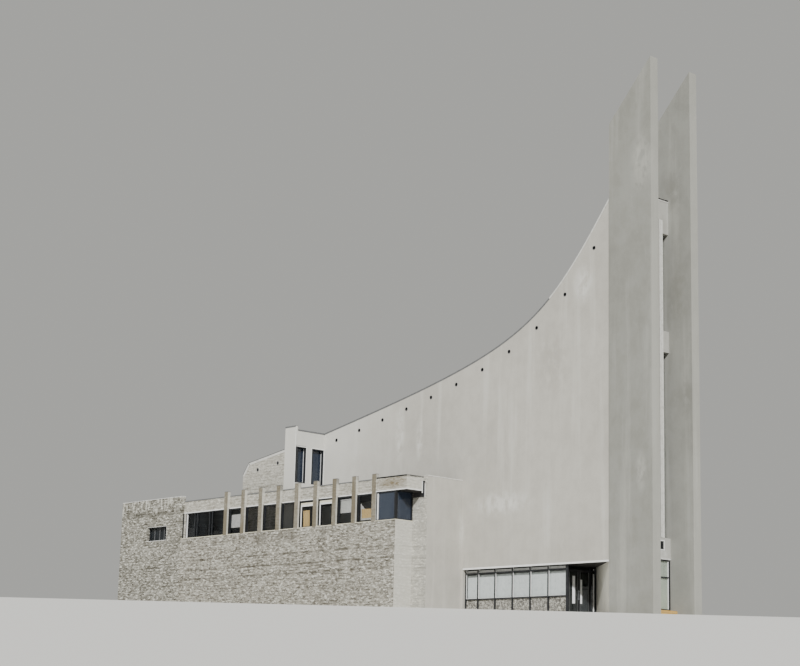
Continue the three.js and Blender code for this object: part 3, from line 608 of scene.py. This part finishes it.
def towerTrim(face, back, inner, top, slit, rim, slats, slatPitch, strip, proud, sill, head, step,
              boards, boardPitch, treads, treadPitch, frameFront):
    near, far = inner
    middle, across = (face + back) / 2, inset(inner, 0.002)
    capsPiece("tower_cap", "paleMetal", [[spot(middle, y, top) for y in inset(inner, 0.001)]], face - back,
              drip=0.03)
    # A dark strip on the cap's front paints the thin shadow line along the cap's top
    barsPiece("tower_cap_shadow_line", "dullBlack", [
        (about(face, -0.05, 0.016), (near + 0.002, far - 0.162), about(top + coping["rise"], 0.0005, 0.06))])
    width, heights = strip
    barsPiece("slot_strip", "paleMetal", [
        (about(face, 0, proud), width, heights),
        (about(face, 0, proud + 0.02), about(width[1], -0.02, 0), heights),
        (about(face, 0, proud + 0.02), about(width[0], 0, 0.02), heights)])

    width, heights = slit
    span, wide, (slitFoot, slitHead) = inset(width, 0.002), inset(width, -rim), heights
    # Black slats in the slit, with a black plate behind them that paints the shade inside
    barsPiece("slit_louvre", "blackMetal", [
        *((about(face, -0.1, -0.02), span, about(slitFoot + 0.02 + slatPitch * i, 0, 0.05))
          for i in range(slats)),
        (about(face, -0.13, -0.1), span, inset(heights, 0.002))])
    depth = about(face, 0, 0.012)
    barsPiece("slit_trim", "whiteTrim", [
        (depth, wide, about(slitHead, 0.001, rim)), (depth, wide, about(slitFoot, -rim, -0.001)),
        (depth, about(width[1], 0, rim), heights), (depth, about(width[0], -rim, 0), heights)])

    barsPiece("tower_sill", "whiteTrim", [
        (about(face, -0.04, 0.03), across, about(sill, 0.001, 0.035)),
        (about(face, 0.018, 0.03), across, about(sill, -0.03, 0.035))])
    barsPiece("tower_window_head", "whiteTrim", [
        (about(face, -0.004, 0.012), across, about(head, 0.005, 0.05)),
        (about(face, -0.004, 0.024), across, about(head, 0.04, 0.055))])
    depth, heights = about(frameFront, -0.05, -0.004), inset((sill, head), 0.07)
    barsPiece("tower_window_bead", "whiteTrim", [
        (depth, about(far, -0.128, -0.1), heights), (depth, about(near, 0.062, 0.09), heights)])
    depth = about(frameFront, 0.001, 0.016)
    barsPiece("tower_window_stile", "blackMetal", [
        (depth, about(far, -0.1, -0.002), (sill + 0.04, head - 0.003)),
        (depth, (near + 0.002, far - 0.1), about(sill, 0.04, 0.1))])
    # A small dark box on the cap beside the far fin
    barsPiece("tower_corner_dark_box", "blackMetal", [
        (about(face, -0.14, 0.004), about(far, -0.16, -0.004), about(top, 0.022, 0.1))])
    across = inset(inner, 0.004)
    barsPiece("step_boards", "timber", [
        *((about(step, -0.002, 0.022), across, about(0.006 + boardPitch * i, 0, 0.086))
          for i in range(boards)),
        *((about(step - 0.112 - treadPitch * i, 0, 0.108), across, about(sill, 0, 0.018))
          for i in range(treads))], 0.004)


# Ribbon window: white drip, dark soffit boards, vertical blinds, pelmet and pebbles
ribbon = {"left": -12.24, "right": -5.42, "front": 0.4, "back": 0.494, "bay": 1.168, "sill": 0.99,
          "post": 0.135, "transom": 2.256, "bar": 0.06, "soffit": 2.48, "wallFace": 0.24,
          "porchRight": -2.76, "floor": 0.12}
screenLine = ((-6.08, 1.04), (-5.6, 2.64))
returnLine = ((-5.42, 0.47), (-6.08, 1.04))
splayLine = ((-2.76, 0.24), (-5.6, 2.64))
soffit = {"board": 0.12, "gap": 0.006, "thick": 0.022, "drip": [
    (0.012, -0.035), (0.012, 0.05), (0.0, 0.05), (0.0, -0.012), (-0.05, -0.012), (-0.05, -0.001),
    (-0.062, -0.001), (-0.062, -0.02), (0.0, -0.024), (0.0, -0.035)]}


def lineAt(line, y):
    (x0, y0), (x1, y1) = line
    return x0 + (x1 - x0) * (y - y0) / (y1 - y0)


def soffitTrim(board, gap, thick, drip):
    mesh = bmesh.new()
    face, left, height = ribbon["wallFace"], ribbon["left"], ribbon["soffit"]
    sweptInto(mesh, drip, placesAlong([spot(x, face, height) for x in (ribbon["porchRight"], left)]))
    toPiece(mesh, "soffit_drip", "whiteTrim")

    # Dark boards under the porch soffit; their dark is painted shade under the overhang as well as stained
    # timber
    mesh = bmesh.new()
    levels = [Matrix.Translation(spot(0, 0, z)) for z in (height - thick, height - 0.001)]
    y = face + 0.07
    while y + board < splayLine[1][1] - 0.1:
        ends = (y, y + board)
        lefts = [lineAt(returnLine if end < screenLine[0][1] else screenLine, end) + 0.07 for end in ends]
        if y < ribbon["front"]:
            lefts = [ribbon["right"] if ends[1] > ribbon["front"] else left + 0.002] * 2
        rights = [lineAt(splayLine, end) - 0.004 for end in ends]
        if rights[1] - lefts[1] > 0.1:
            ring = ((lefts[0], y), (rights[0], y), (rights[1], ends[1]), (lefts[1], ends[1]))
            sweptInto(mesh, ring, levels)
        y += board + gap
    toPiece(mesh, "soffit_boards", "darkBoards")


blinds = {"pitch": 0.083, "width": 0.089, "thick": 0.002, "turn": 0.42, "line": 0.58, "foot": 1.03,
          "head": 2.17, "rail": 0.035, "pelmet": (2.29, 2.4), "bead": 0.018, "seed": 5}


def ribbonBlinds(pitch, width, thick, turn, line, foot, head, rail, pelmet, bead, seed):
    draw = random.Random(seed)
    left, right, bay, bar, back = (ribbon[name] for name in ("left", "right", "bay", "bar", "back"))
    end = right - ribbon["post"]
    span = (left + 0.03, end + 0.01)
    mesh = bmesh.new()
    x = span[0] + 0.05
    while x < span[1] - 0.05:
        angle = turn + draw.uniform(-0.12, 0.12)
        place = Matrix.Translation(spot(x, line, 0)) @ Matrix.Rotation(angle, 4, "Z")
        height = (foot + draw.uniform(0, 0.02), head)
        barInto(mesh, (-width / 2, width / 2), (-thick / 2, thick / 2), height, turn=place)
        x += pitch
    toPiece(mesh, "ribbon_blinds", "vanePlastic")
    barsPiece("blind_rail", "zinc", [
        (span, about(line, -rail / 2, rail / 2), about(head, 0, rail)),
        (span, (back + 0.001, line - rail / 2), about(head, 0.01, 0.025))])
    barsPiece("ribbon_pelmet", "whiteTrim", [(span, about(back, 0.002, 0.022), pelmet)])
    columns = []
    while end - bay > left:
        columns.append((end - bay + bar, end))
        end -= bay
    columns.append((left + bar, end))
    depth, transom = about(ribbon["front"], 0.03, 0.066), ribbon["transom"]
    beads = []
    for x0, x1 in columns:
        for limits in ((ribbon["sill"], transom), (transom, ribbon["soffit"])):
            heights = inset(limits, bar / 2)
            beads += [(about(x0, 0.001, bead), depth, heights), (about(x1, -bead, -0.001), depth, heights),
                      ((x0 + bead, x1 - bead), depth, about(heights[0], 0.001, bead))]
    barsPiece("ribbon_beads", "whiteTrim", beads)


pebbles = {"count": 2900, "size": (0.009, 0.021), "proud": 0.35, "bays": 6, "seed": 11}


def panelPebbles(count, size, proud, bays, seed):
    draw = random.Random(seed)
    mesh = bmesh.new()
    heights = (ribbon["floor"] + 0.075, ribbon["sill"] - 0.045)
    for _ in range(count):
        right = ribbon["right"] - ribbon["post"] - ribbon["bay"] * draw.randrange(bays) - 0.02
        x = right - draw.random() * (min(ribbon["bay"], right - ribbon["left"]) - ribbon["bar"] - 0.04)
        radius = draw.uniform(*size)
        place = Matrix.Translation(spot(x, ribbon["front"] + 0.07 - radius * proud, draw.uniform(*heights)))
        turn = Matrix.Rotation(draw.uniform(0, math.pi), 4, "Y")
        squash = Matrix.Diagonal((radius * draw.uniform(1.0, 1.5), radius * 0.8, radius, 1))
        bmesh.ops.create_icosphere(mesh, subdivisions=1, radius=1, matrix=place @ turn @ squash)
    toPiece(mesh, "panel_pebbles", "pebbleStones")


towerTrim(**tower)
soffitTrim(**soffit)
ribbonBlinds(**blinds)
panelPebbles(**pebbles)
print("tower and ribbon window dressed")

# Porch doors, worked out from their two hinge pins
door = {"leftPin": 0.087, "pinDepth": 0.0145, "leafHalf": 0.0225, "rail": 0.16, "stile": 0.07,
        "leaves": {"left": (0.079, 0.676), "right": (0.684, 1.281)}, "foot": 0.128, "top": 2.244,
        "handle": (0.86, 1.34), "handleOut": 0.052, "handleRadius": 0.011, "handleIn": 0.035,
        "film": {"left": ((0.32, 0.47), (0.7, 2.0)), "right": ((0.757, 0.86), (0.7, 1.84))},
        "filmDepth": (-0.0145, -0.0125), "sideBead": ((1.47, 1.53), ((0.2, 2.14), (2.27, 2.38)))}
pins = {joint["child"]: Vector(joint["pos_m"]) for joint in frame["joints"]}
screenAlong = (pins["right_door"] - pins["left_door"]).normalized()
screenInward = Vector((-screenAlong.y, screenAlong.x, 0))
screenOrigin = pins["left_door"] - screenAlong * door["leftPin"] + screenInward * door["pinDepth"]
screenTurn = axesAt(screenAlong, screenInward, Vector((0, 0, 1)), (*screenOrigin.xy, 0))


def doorDress(side):
    (start, end), (foot, head) = door["leaves"][side], door["handle"]
    half, stile, radius = door["leafHalf"], door["stile"], door["handleRadius"]
    meeting = end - door["handleIn"] if side == "left" else start + door["handleIn"]
    body = f"{side}_door"
    out = -half - door["handleOut"]

    mesh = bmesh.new()
    place = Matrix.Translation(screenTurn @ Vector((meeting, out, (foot + head) / 2)))
    bmesh.ops.create_cone(mesh, cap_ends=True, segments=16, radius1=radius, radius2=radius,
                          depth=head - foot, matrix=place)
    for z in (foot + 0.06, head - 0.06):
        for reach, back, bevel in ((0.008, out, 0.0), (0.02, -half - 0.005, 0.002)):
            barInto(mesh, about(meeting, -reach, reach), (back, 0.001 - half), about(z, -reach, reach),
                    bevel, screenTurn)
    toPiece(mesh, f"{side}_pull_handle", "steel", body)

    mesh = bmesh.new()
    rail = door["foot"] + door["rail"]
    height = (door["foot"] + 0.015, rail - 0.02)
    barInto(mesh, inset((start, end), 0.02), about(-half, -0.003, 0.001), height, 0.001, screenTurn)
    for edge in (start + stile - 0.016, end - stile):
        barInto(mesh, about(edge, 0, 0.016), about(-half, -0.006, 0.001),
                (rail - 0.016, door["top"] - stile + 0.016), 0.002, screenTurn)
    toPiece(mesh, f"{side}_kick_plate", "steel", body)

    span, height = door["film"][side]
    barsPiece(f"{side}_door_film", "doorFilm", [(span, door["filmDepth"], height)], 0.0, screenTurn, body)


doorDress("left")
doorDress("right")
barsPiece("side_light_bead", "whiteTrim", [
    (door["sideBead"][0], (-0.022, door["filmDepth"][1]), height) for height in door["sideBead"][1]],
    turn=screenTurn)
print("doors dressed")

# Light scoops: copings, dark window frames, pale reveals and drips
scoop = {"left": -24.08, "face": -23.2, "wall": 0.2, "front": (-1.84, -1.69), "top": 10.36,
         "frontTop": 10.56, "windows": ((-1.69, -1.05), (-0.65, 0.2)), "sill": 7.48, "head": 9.44,
         "bar": 0.045}


def bothSides(bars):  # the same bars on the near and the far side of the nave
    mirror = mirrorSum - 2 * frontPlane
    return bars + [(xs, (mirror - ys[1], mirror - ys[0]), zs) for xs, ys, zs in bars]


def scoopTrim(left, face, wall, front, top, frontTop, windows, sill, head, bar):
    mesh = bmesh.new()
    ends = [spot(x, sum(front) / 2, frontTop) for x in (left, face)]
    capInto(mesh, ends, front[1] - front[0])
    capInto(mesh, [mirrored(end) for end in ends], front[1] - front[0], 0.0)
    for x in (left + wall / 2, face - wall / 2):
        end = spot(x, front[1] + 0.002, top)
        capInto(mesh, [end, mirrored(end)], wall)
    toPiece(mesh, "scoop_copings", "zinc")

    depth, edge, heights = about(face, -0.15, -0.004), about(face, -0.001, 0.011), (sill, head)
    frames, beads, drips = [], [], []
    for y0, y1 in windows:
        frames += [(depth, across, up) for across, up in surround((y0, y1), heights, bar, 0)]
        beads += [(about(face, -0.19, -0.155), about(y1, -0.05, -0.03), inset(heights, bar)),
                  (edge, about(y1, 0.004, 0.036), heights)]
        drips.append((about(face, -0.001, 0.014), (y0, y1 + 0.036), about(head, 0.004, 0.05)))
    beads += [(edge, about(windows[1][0], -0.05, -0.004), heights),
              (edge, about(front[0], 0.002, 0.04), (sill - 0.3, frontTop - 0.06))]
    # A black strip on the front wall's end paints the shadow line in its corner with the face wall, and a
    # thin black line runs above the first window's drip
    frames += [(edge, (front[0] + 0.045, front[1] - 0.002), heights),
               (edge, (front[0] + 0.045, windows[0][1]), about(head, 0.055, 0.07))]
    barsPiece("scoop_window_frames", "blackMetal", bothSides(frames))
    barsPiece("scoop_beads", "whiteTrim", bothSides(beads))
    barsPiece("scoop_drips", "whiteTrim", bothSides(drips))


# Chancel: pale coping with a dark cap along its sloped top, and two round outlets
chancel = {"near": -1.84, "wall": 0.25, "tops": ((-24.08, 9.32), (-27.2, 8.84), (-27.68, 8.2)),
           "outlets": ((-26.38, 8.41), (-24.64, 8.64)), "radius": 0.105}


def chancelTrim(near, wall, tops, outlets, radius):
    lift = Vector((0, 0, coping["rise"]))
    pale, dark, rims, cores = (bmesh.new() for _ in range(4))
    line = [spot(x, near + wall / 2, z) for x, z in tops]
    for points, out in ((line, 1), ([mirrored(point) for point in line], 0)):
        for start, end in zip(points, points[1:]):
            capInto(pale, [start, end], wall, 0.008 * out, 0.12)
            capInto(dark, [start + lift, end + lift], wall, 0.022 * out, 0.012)
    face = frontPlane + near
    # Pale rims, and black discs on the wall face that paint the shade inside the outlets
    for x, z in outlets:
        ringInto(rims, spot(x, 0, z), radius, radius + 0.012, *about(face, -0.014, 0.002))
        ringInto(cores, spot(x, 0, z), 0.001, radius, *about(face, -0.006, 0.001))
    toPiece(pale, "chancel_copings", "paleMetal")
    toPiece(dark, "chancel_flashings", "zinc")
    toPiece(rims, "chancel_outlet_rims", "paleMetal")
    toPiece(cores, "chancel_outlet_shade_discs", "blackMetal")


# Low wing: copings, drips, sills, window posts, blinds and curtains
wing = {"front": -3.6, "fascia": -3.42, "wall": 0.25, "sill": 4.67, "head": 6.12, "top": 6.8,
        "first": -14.76, "pitch": 1.51, "post": 0.3, "postTop": 7.03, "count": 9, "left": -30.9,
        "canopyLeft": -14.61, "canopyRight": -12.38, "canopyFront": -3.58, "canopyFoot": 6.13,
        "canopyTop": 6.83, "pier": -2.43, "corner": -13.12, "endWallTop": 6.94, "inside": -3.29,
        "widePost": (-30.7, -30.57), "wideBars": (-29.9, -28.3), "board": ((-26.62, -25.85), (5.07, 5.78)),
        "casement": ((-14.545, -14.475), (-3.545, -3.505), (4.75, 6.04)), "casementHeads": {2: 5.9, 3: 5.88},
        "pipe": (5.84, 6.62), "soffitBoards": 8, "soffitPitch": 0.125, "endWallFar": 0.238}


def bayRange(i):  # clear width of a window bay, counted from the corner
    right = wing["first"] - wing["pitch"] * i - wing["post"] / 2
    if i == wing["count"] - 1:
        return wing["left"] + 0.02, right
    return right - wing["pitch"] + wing["post"], right


bays = [bayRange(i) for i in range(wing["count"])]


def wingTrim():
    front, fascia, corner, sill, head = (
        wing[name] for name in ("front", "fascia", "corner", "sill", "head"))
    spans = [inset(bay, 0.002) for bay in bays]
    capsPiece("fascia_copings", "zinc", [
        [spot(x, fascia + wing["wall"] / 2, wing["top"]) for x in span] for span in spans], wing["wall"],
        drip=0.03)
    barsPiece("window_head_drips", "whiteTrim", [
        (span, about(fascia, -0.014, 0.001), about(head, -0.012, 0.04)) for span in spans])
    height = about(sill, 0.001, 0.03)
    barsPiece("window_sills", "creamTrim", [
        *((span, (front, fascia - 0.001), height) for span in spans),
        ((wing["canopyLeft"] + 0.002, corner), about(front, 0, 0.039), height),
        (about(corner, -0.039, 0), (front + 0.04, wing["pier"] - 0.002), height)])
    barsPiece("post_caps", "zinc", [
        (about(wing["first"] - wing["pitch"] * i, -0.152, 0.152), (front, fascia),
         about(wing["postTop"], 0.001, 0.02)) for i in range(wing["count"])], 0.004)
    depth, height = about(fascia, 0.004, 0.06), (sill + 0.03, head - 0.014)
    barsPiece("wide_window_post", "whiteTrim", [(wing["widePost"], depth, height)])
    barsPiece("wide_window_bars", "blackMetal", [
        (about(x, 0, 0.06), depth, height) for x in wing["wideBars"]])
    span, height = wing["board"]
    barsPiece("window_board", "whiteTrim", [(span, about(wing["inside"], -0.03, -0.004), height)])
    barsPiece("window_linings", "dullBlack", [
        (about(bay[0], 0.001, 0.009), about(fascia, -0.08, 0.02), (sill + 0.032, head - 0.014))
        for bay in bays])

    beads, depth, height = [], about(fascia, 0.02, 0.05), inset((sill, head), 0.06)
    for bay in bays[:-1]:
        inner = inset(bay, 0.06)
        beads += [(about(inner[0], 0, 0.03), depth, height), (about(inner[1], -0.03, 0), depth, height),
                  (inner, depth, about(height[0], 0, 0.03)), (inner, depth, about(height[1], -0.03, 0))]
    barsPiece("window_beads", "blackMetal", beads)
    depth = about(fascia, -0.01, 0.018)
    casements, rails = [wing["casement"]], []
    for i, top in wing["casementHeads"].items():
        across = inset(bays[i], 0.05)
        casements += [(across, depth, about(top, -0.08, 0)),
                      (about(bays[i][0], 0.05, 0.11), depth, (sill + 0.08, top - 0.08))]
        rails.append((across, depth, about(top, 0.001, 0.11)))
    barsPiece("casement_bars", "whiteTrim", casements)
    barsPiece("casement_heads", "creamTrim", rails)


folds = {"wave": 0.13, "depth": 0.022, "columns": 60, "rows": 10}


def cloth(name, finish, segments, size, place):  # a hung sheet, placed by each point's shares across and up
    mesh = bmesh.new()
    bmesh.ops.create_grid(mesh, x_segments=segments[0], y_segments=segments[1], size=0.5)
    for corner in mesh.verts:
        corner.co = place(corner.co.x + 0.5, corner.co.y + 0.5)
    width, height = size
    if width is None:
        width = sum(face.calc_area() for face in mesh.faces) / height
    toPiece(mesh, name, finish)


def curtain(name, finish, xs, foot, head, rise=0.0, forward=0.0):  # a cloth with soft folds
    def place(across, up):
        top = head + rise * (1 - across)
        wave = math.sin(math.tau * across * (xs[1] - xs[0]) / folds["wave"] + 0.5 * math.sin(5 * up))
        return spot(xs[0] + (xs[1] - xs[0]) * across,
                    wing["inside"] + 0.05 + forward + folds["depth"] * wave, foot + (top - foot) * up)
    cloth(name, finish, (folds["columns"], folds["rows"]), (None, head + rise / 2 - foot), place)


def wingCloth():
    left, right = bays[0]
    curtain("cafe_curtain_white", "whiteCurtain", about(left, 0.02, 0.36), 4.84, 5.36, 0.32)
    width = (left + 0.13, right - 0.06)
    curtain("cafe_curtain_yellow", "yellowCurtain", width, 4.92, 5.36, 0.04, -0.035)
    curtain("cafe_curtain_hem", "whiteCurtain", width, 4.83, 4.92, 0.0, -0.04)
    curtain("side_curtain_yellow", "yellowCurtain", about(bays[3][0], 0.04, 0.56), 4.74, 5.62)
    inside, (x0, x1), (foot, head) = wing["inside"], (bays[1][0] + 0.03, bays[1][1] - 0.1), (5.31, 5.92)

    def place(across, up):
        slack = 0.006 * math.sin(math.pi * up) * math.sin(math.pi * across)
        return spot(x0 + (x1 - x0) * across, inside + slack, foot + (head - foot) * up)
    cloth("roller_blind", "blindCloth", (12, 12), (x1 - x0, head - foot), place)
    barsPiece("blind_bars", "whiteTrim", [
        ((x0, x1), about(inside, -0.012, 0.012), about(foot, -0.03, 0)),
        ((x0 - 0.02, x1 + 0.02), about(inside, -0.03, 0.03), about(head, 0, 0.06))], 0.006)


def canopyTrim():
    left, right, front = wing["canopyLeft"], wing["canopyRight"], wing["canopyFront"]
    foot, top, pier, corner = wing["canopyFoot"], wing["canopyTop"], wing["pier"], wing["corner"]
    wall, pipe = wing["wall"], wing["pipe"]
    height = about(foot, -0.012, 0.045)
    barsPiece("canopy_drips", "whiteTrim", [
        ((left + 0.002, right + 0.01), about(front, -0.01, 0), height),
        (about(right, 0, 0.01), (front, pier), height)])
    barsPiece("canopy_downpipe", "blackMetal", [
        (about(right, -0.01, 0.05), about(pier, -0.075, 0.01), pipe),
        (about(right, -0.01, 0.07), about(pier, -0.1, 0.035), about(pipe[1], -0.06, 0))], 0.008)
    edge = about(right, -0.002, 0.012)
    barsPiece("canopy_end_beads", "whiteTrim", [
        (edge, about(pier, -0.135, -0.08), (pipe[0] + 0.18, pipe[1])),
        (edge, about(pier, 0.04, 0.09), (pipe[0] - 0.01, pipe[1]))])
    # A dark board across the pier's top under the canopy; it paints the canopy's shade there as well as a
    # dark band
    barsPiece("pier_head_board", "darkBoards", [
        ((corner + 0.002, right - 0.005), about(pier, -0.02, 0.001), (pipe[0], foot - 0.022))])
    barsPiece("corner_post_cover", "dullBlack", [
        (about(corner, -0.062, 0.006), about(front, -0.014, 0.06), (wing["sill"] + 0.032, foot - 0.014))])
    capsPiece("canopy_copings", "zinc", [
        [spot(x, front + 0.1, top) for x in (left + 0.01, right - 0.02)],
        [spot(right - 0.1, y, top) for y in (front + 0.2, pier - 0.02)]], 0.17)
    capsPiece("end_wall_coping", "paleMetal", [
        [spot(right - wall / 2, y, wing["endWallTop"]) for y in (pier + wall, wing["endWallFar"])]], wall,
        drip=0.03)
    # Dark boards under the canopy; their dark paints the canopy's shade as well as stained timber
    barsPiece("canopy_soffit_boards", "darkBoards", [
        ((corner + 0.01, right - 0.01), about(front + 0.09 + wing["soffitPitch"] * i, 0, 0.12),
         about(foot, -0.02, -0.001)) for i in range(wing["soffitBoards"])])


scoopTrim(**scoop)
chancelTrim(**chancel)
wingTrim()
wingCloth()
canopyTrim()
print("scoops, chancel and wing dressed")

# West block: white copings, window frames with bars, and a small roof vent
west = {"left": -36.8, "right": -30.9, "front": -3.6, "far": 13.52, "wall": 0.25, "top": 7.08,
        "farRight": -27.68, "window": ((-34.16, -32.28), (4.69, 5.51)), "frameDepth": (-3.44, -3.38),
        "barDepth": (-3.42, -3.38), "trimBack": -3.45, "row": (4.67, 6.12),
        "endStarts": [-1.9 + 2.4 * i for i in range(6)], "farStarts": [-35.6 + 1.9 * i for i in range(4)],
        "width": 1.2, "bar": 0.05, "bars": (0.25, 0.52, 0.76), "vent": (-36.3, -2.5, 6.6),
        "ventParts": ((0.06, 0.0, 0.72), (0.11, 0.62, 0.7), (0.14, 0.0, 0.02))}  # radius, foot and head


def frameBars(span, heights, depth, bar, mullions):
    bars = [(across, depth, up) for across, up in surround(span, heights, bar, 0.001)]
    step = (span[1] - span[0]) / (mullions + 1)
    for i in range(mullions):
        bars.append((about(span[0] + step * (i + 1), -bar / 3, bar / 3), depth, inset(heights, bar)))
    return bars


def westTrim(left, right, front, far, wall, top, farRight, window, frameDepth, barDepth, trimBack, row,
             endStarts, farStarts, width, bar, bars, vent, ventParts):
    half = wall / 2
    capsPiece("west_copings", "whiteTrim", [
        [spot(x, front + half, top) for x in (left + wall, right)],
        [spot(left + half, y, top) for y in (front, far)],
        [spot(x, far - half, top) for x in (left + wall, farRight)]], wall, 0.0)

    span, heights = window
    inner, across = inset(span, 0.04), inset(span, 0.001)
    barsPiece("small_window_frame", "blackMetal", frameBars(span, heights, frameDepth, 0.035, 0))
    middles = [inner[0] + share * (inner[1] - inner[0]) for share in bars]
    barsPiece("small_window_bars", "zinc", [
        (about(x, -0.006, 0.006), barDepth, inset(heights, 0.04)) for x in middles])
    barsPiece("small_window_trim", "whiteTrim", [
        (across, (front, trimBack), about(heights[1], -0.014, -0.001)),
        (about(span[1], -0.014, -0.001), (front + 0.002, trimBack), (heights[0] + 0.02, heights[1] - 0.014)),
        (across, (front, trimBack), about(heights[0], 0.001, 0.02))])
    height = about(row[0], 0.001, 0.03)
    frames, sills = [], []
    for start in farStarts:
        frames += frameBars(about(start, 0, width), row, about(far, -0.22, -0.15), bar, 1)
        sills.append((about(start, 0, width), about(far, -0.14, 0), height))
    for start in endStarts:
        turned = frameBars(about(start, 0, width), row, about(left, 0.15, 0.22), bar, 1)
        frames += [(xs, ys, zs) for ys, xs, zs in turned]
        sills.append((about(left, 0, 0.14), about(start, 0, width), height))
    barsPiece("west_window_frames", "blackMetal", frames)
    barsPiece("west_sills", "creamTrim", sills)

    mesh = bmesh.new()
    for radius, foot, head in ventParts:
        place = Matrix.Translation(spot(*vent) + Vector((0, 0, (foot + head) / 2)))
        bmesh.ops.create_cone(mesh, cap_ends=True, segments=20, radius1=radius, radius2=radius * 0.9,
                              depth=head - foot, matrix=place)
    toPiece(mesh, "west_roof_vent", "whiteTrim")


# Seams of the flat roofs: ranges in X and Y, with the roof's height
roofAreas = [((-36.5, -27.72), (-3.3, 13.2), 6.6), ((-27.7, -13.45), (-3.1, -1.9), 6.6),
             ((-23.15, -12.7), (-1.8, 0.2), 6.6)]
seams = {"first": 0.9, "pitch": 1.0, "width": 0.09, "rise": 0.006, "edge": 0.06, "upstand": 0.12}


def roofSeams(first, pitch, width, rise, edge, upstand):
    bars = []
    for xs, ys, top in roofAreas:
        y = ys[0] + first
        while y < ys[1] - 0.2:
            bars.append((xs, about(y, 0, width), about(top, -0.002, rise)))
            y += pitch
        height = about(top, -0.001, upstand)
        bars += [(xs, about(ys[0], 0, edge), height), (about(xs[0], 0, edge), ys, height)]
    barsPiece("flat_roof_seams", "felt", bars, 0.0)


# Fins of mortar that the form boards left on the rough concrete
ridges = {"seed": 7, "board": 0.142, "proud": 0.004, "thick": 0.007, "share": 0.34, "length": (0.25, 1.4)}


def ridgesInto(mesh, draw, face, span, heights):
    z = heights[0]
    while z < heights[1]:
        start = span[0] + draw.uniform(0, 0.4)
        while start < span[1] - 0.1:
            end = min(start + draw.uniform(*ridges["length"]), span[1])
            if draw.random() < ridges["share"]:
                height = (z, z + ridges["thick"] * draw.uniform(0.5, 1.3))
                barInto(mesh, (start, end), about(face, -ridges["proud"], 0.001), height)
            start = end + 0.02
        z += ridges["board"]


def concreteRidges():
    draw = random.Random(ridges["seed"])
    mesh = bmesh.new()
    for face, span, heights in (
            (wing["canopyFront"], (wing["canopyLeft"], wing["canopyRight"]), (6.2, 6.8)),
            *((wing["fascia"], bay, (6.2, 6.75)) for bay in bays),
            (chancel["near"], (-27.2, -24.1), (7.1, 8.6)),
            (wing["pier"], (wing["corner"], wing["canopyRight"]), (0.1, 6.1))):
        ridgesInto(mesh, draw, face, span, heights)
    toPiece(mesh, "board_ridges", "fasciaConcrete")


westTrim(**west)
roofSeams(**seams)
concreteRidges()
print("west block, roofs and concrete dressed")

# Camera at the photo's angle, a pale floor that falls away in front, and soft light
cameraPlace = Vector((68.658, -66.979, -4.670))
cameraRight = Vector((0.6814, 0.7314, 0.0249))
cameraUp = Vector((0.1384, -0.1621, 0.9770))
cameraAhead = Vector((-0.7187, 0.6624, 0.2117))
photoWidth, focalPixels, sensorWidth = 800, 1762.8, 36

cameraData = bpy.data.cameras.new("photoCamera")
cameraData.lens = sensorWidth * focalPixels / photoWidth
cameraData.sensor_width = sensorWidth
cameraData.clip_end = 1000
camera = toScene("photoCamera", cameraData)
camera.matrix_world = axesAt(cameraRight, cameraUp, -cameraAhead, cameraPlace)
bpy.context.scene.camera = camera

floorSize = {"brow": 79.0, "back": 420.0, "side": 260.0, "front": -20.0, "fall": 0.079, "below": 0.003}


def makeFloor(brow, back, side, front, fall, below):
    ahead = Vector((cameraAhead.x, cameraAhead.y, 0)).normalized()
    aside = Vector((ahead.y, -ahead.x, 0))
    foot = Vector((cameraPlace.x, cameraPlace.y, 0))
    mesh = bmesh.new()
    bmesh.ops.create_grid(mesh, x_segments=1, y_segments=2, size=1)
    rows = {-1: front, 0: brow, 1: back}
    for corner in mesh.verts:
        run = rows[round(corner.co.y)]
        corner.co = foot + ahead * run + aside * corner.co.x * side
        corner.co.z = -max(0.0, brow - run) * fall - below
    data = bpy.data.meshes.new("floor")
    mesh.to_mesh(data)
    mesh.free()
    paint = Paint("paleFloor")
    fleck = paint.noise(0.6, detail=2.0)
    data.materials.append(paint.finish(
        paint.mix((222, 221, 217), (fleck * 0.1, (214, 213, 209))), 0.9))
    floor = toScene("floor", data)


light = {"key": 4.6, "keySpread": 2.5, "keyWay": (-0.58, 0.62, -0.53), "sky": shade(218, 218, 213),
         "skyPower": 0.62}


def makeLight(key, keySpread, keyWay, sky, skyPower):
    world = bpy.data.worlds.new("studio")
    world.use_nodes = True
    background = world.node_tree.nodes["Background"]
    background.inputs["Color"].default_value = sky
    background.inputs["Strength"].default_value = skyPower
    bpy.context.scene.world = world
    data = bpy.data.lights.new("keyLight", "SUN")
    data.energy = key
    data.angle = math.radians(keySpread)
    sun = toScene("keyLight", data)
    sun.rotation_mode = "QUATERNION"
    sun.rotation_quaternion = Vector(keyWay).to_track_quat("-Z", "Y")


makeFloor(**floorSize)
makeLight(**light)
print("stage made")
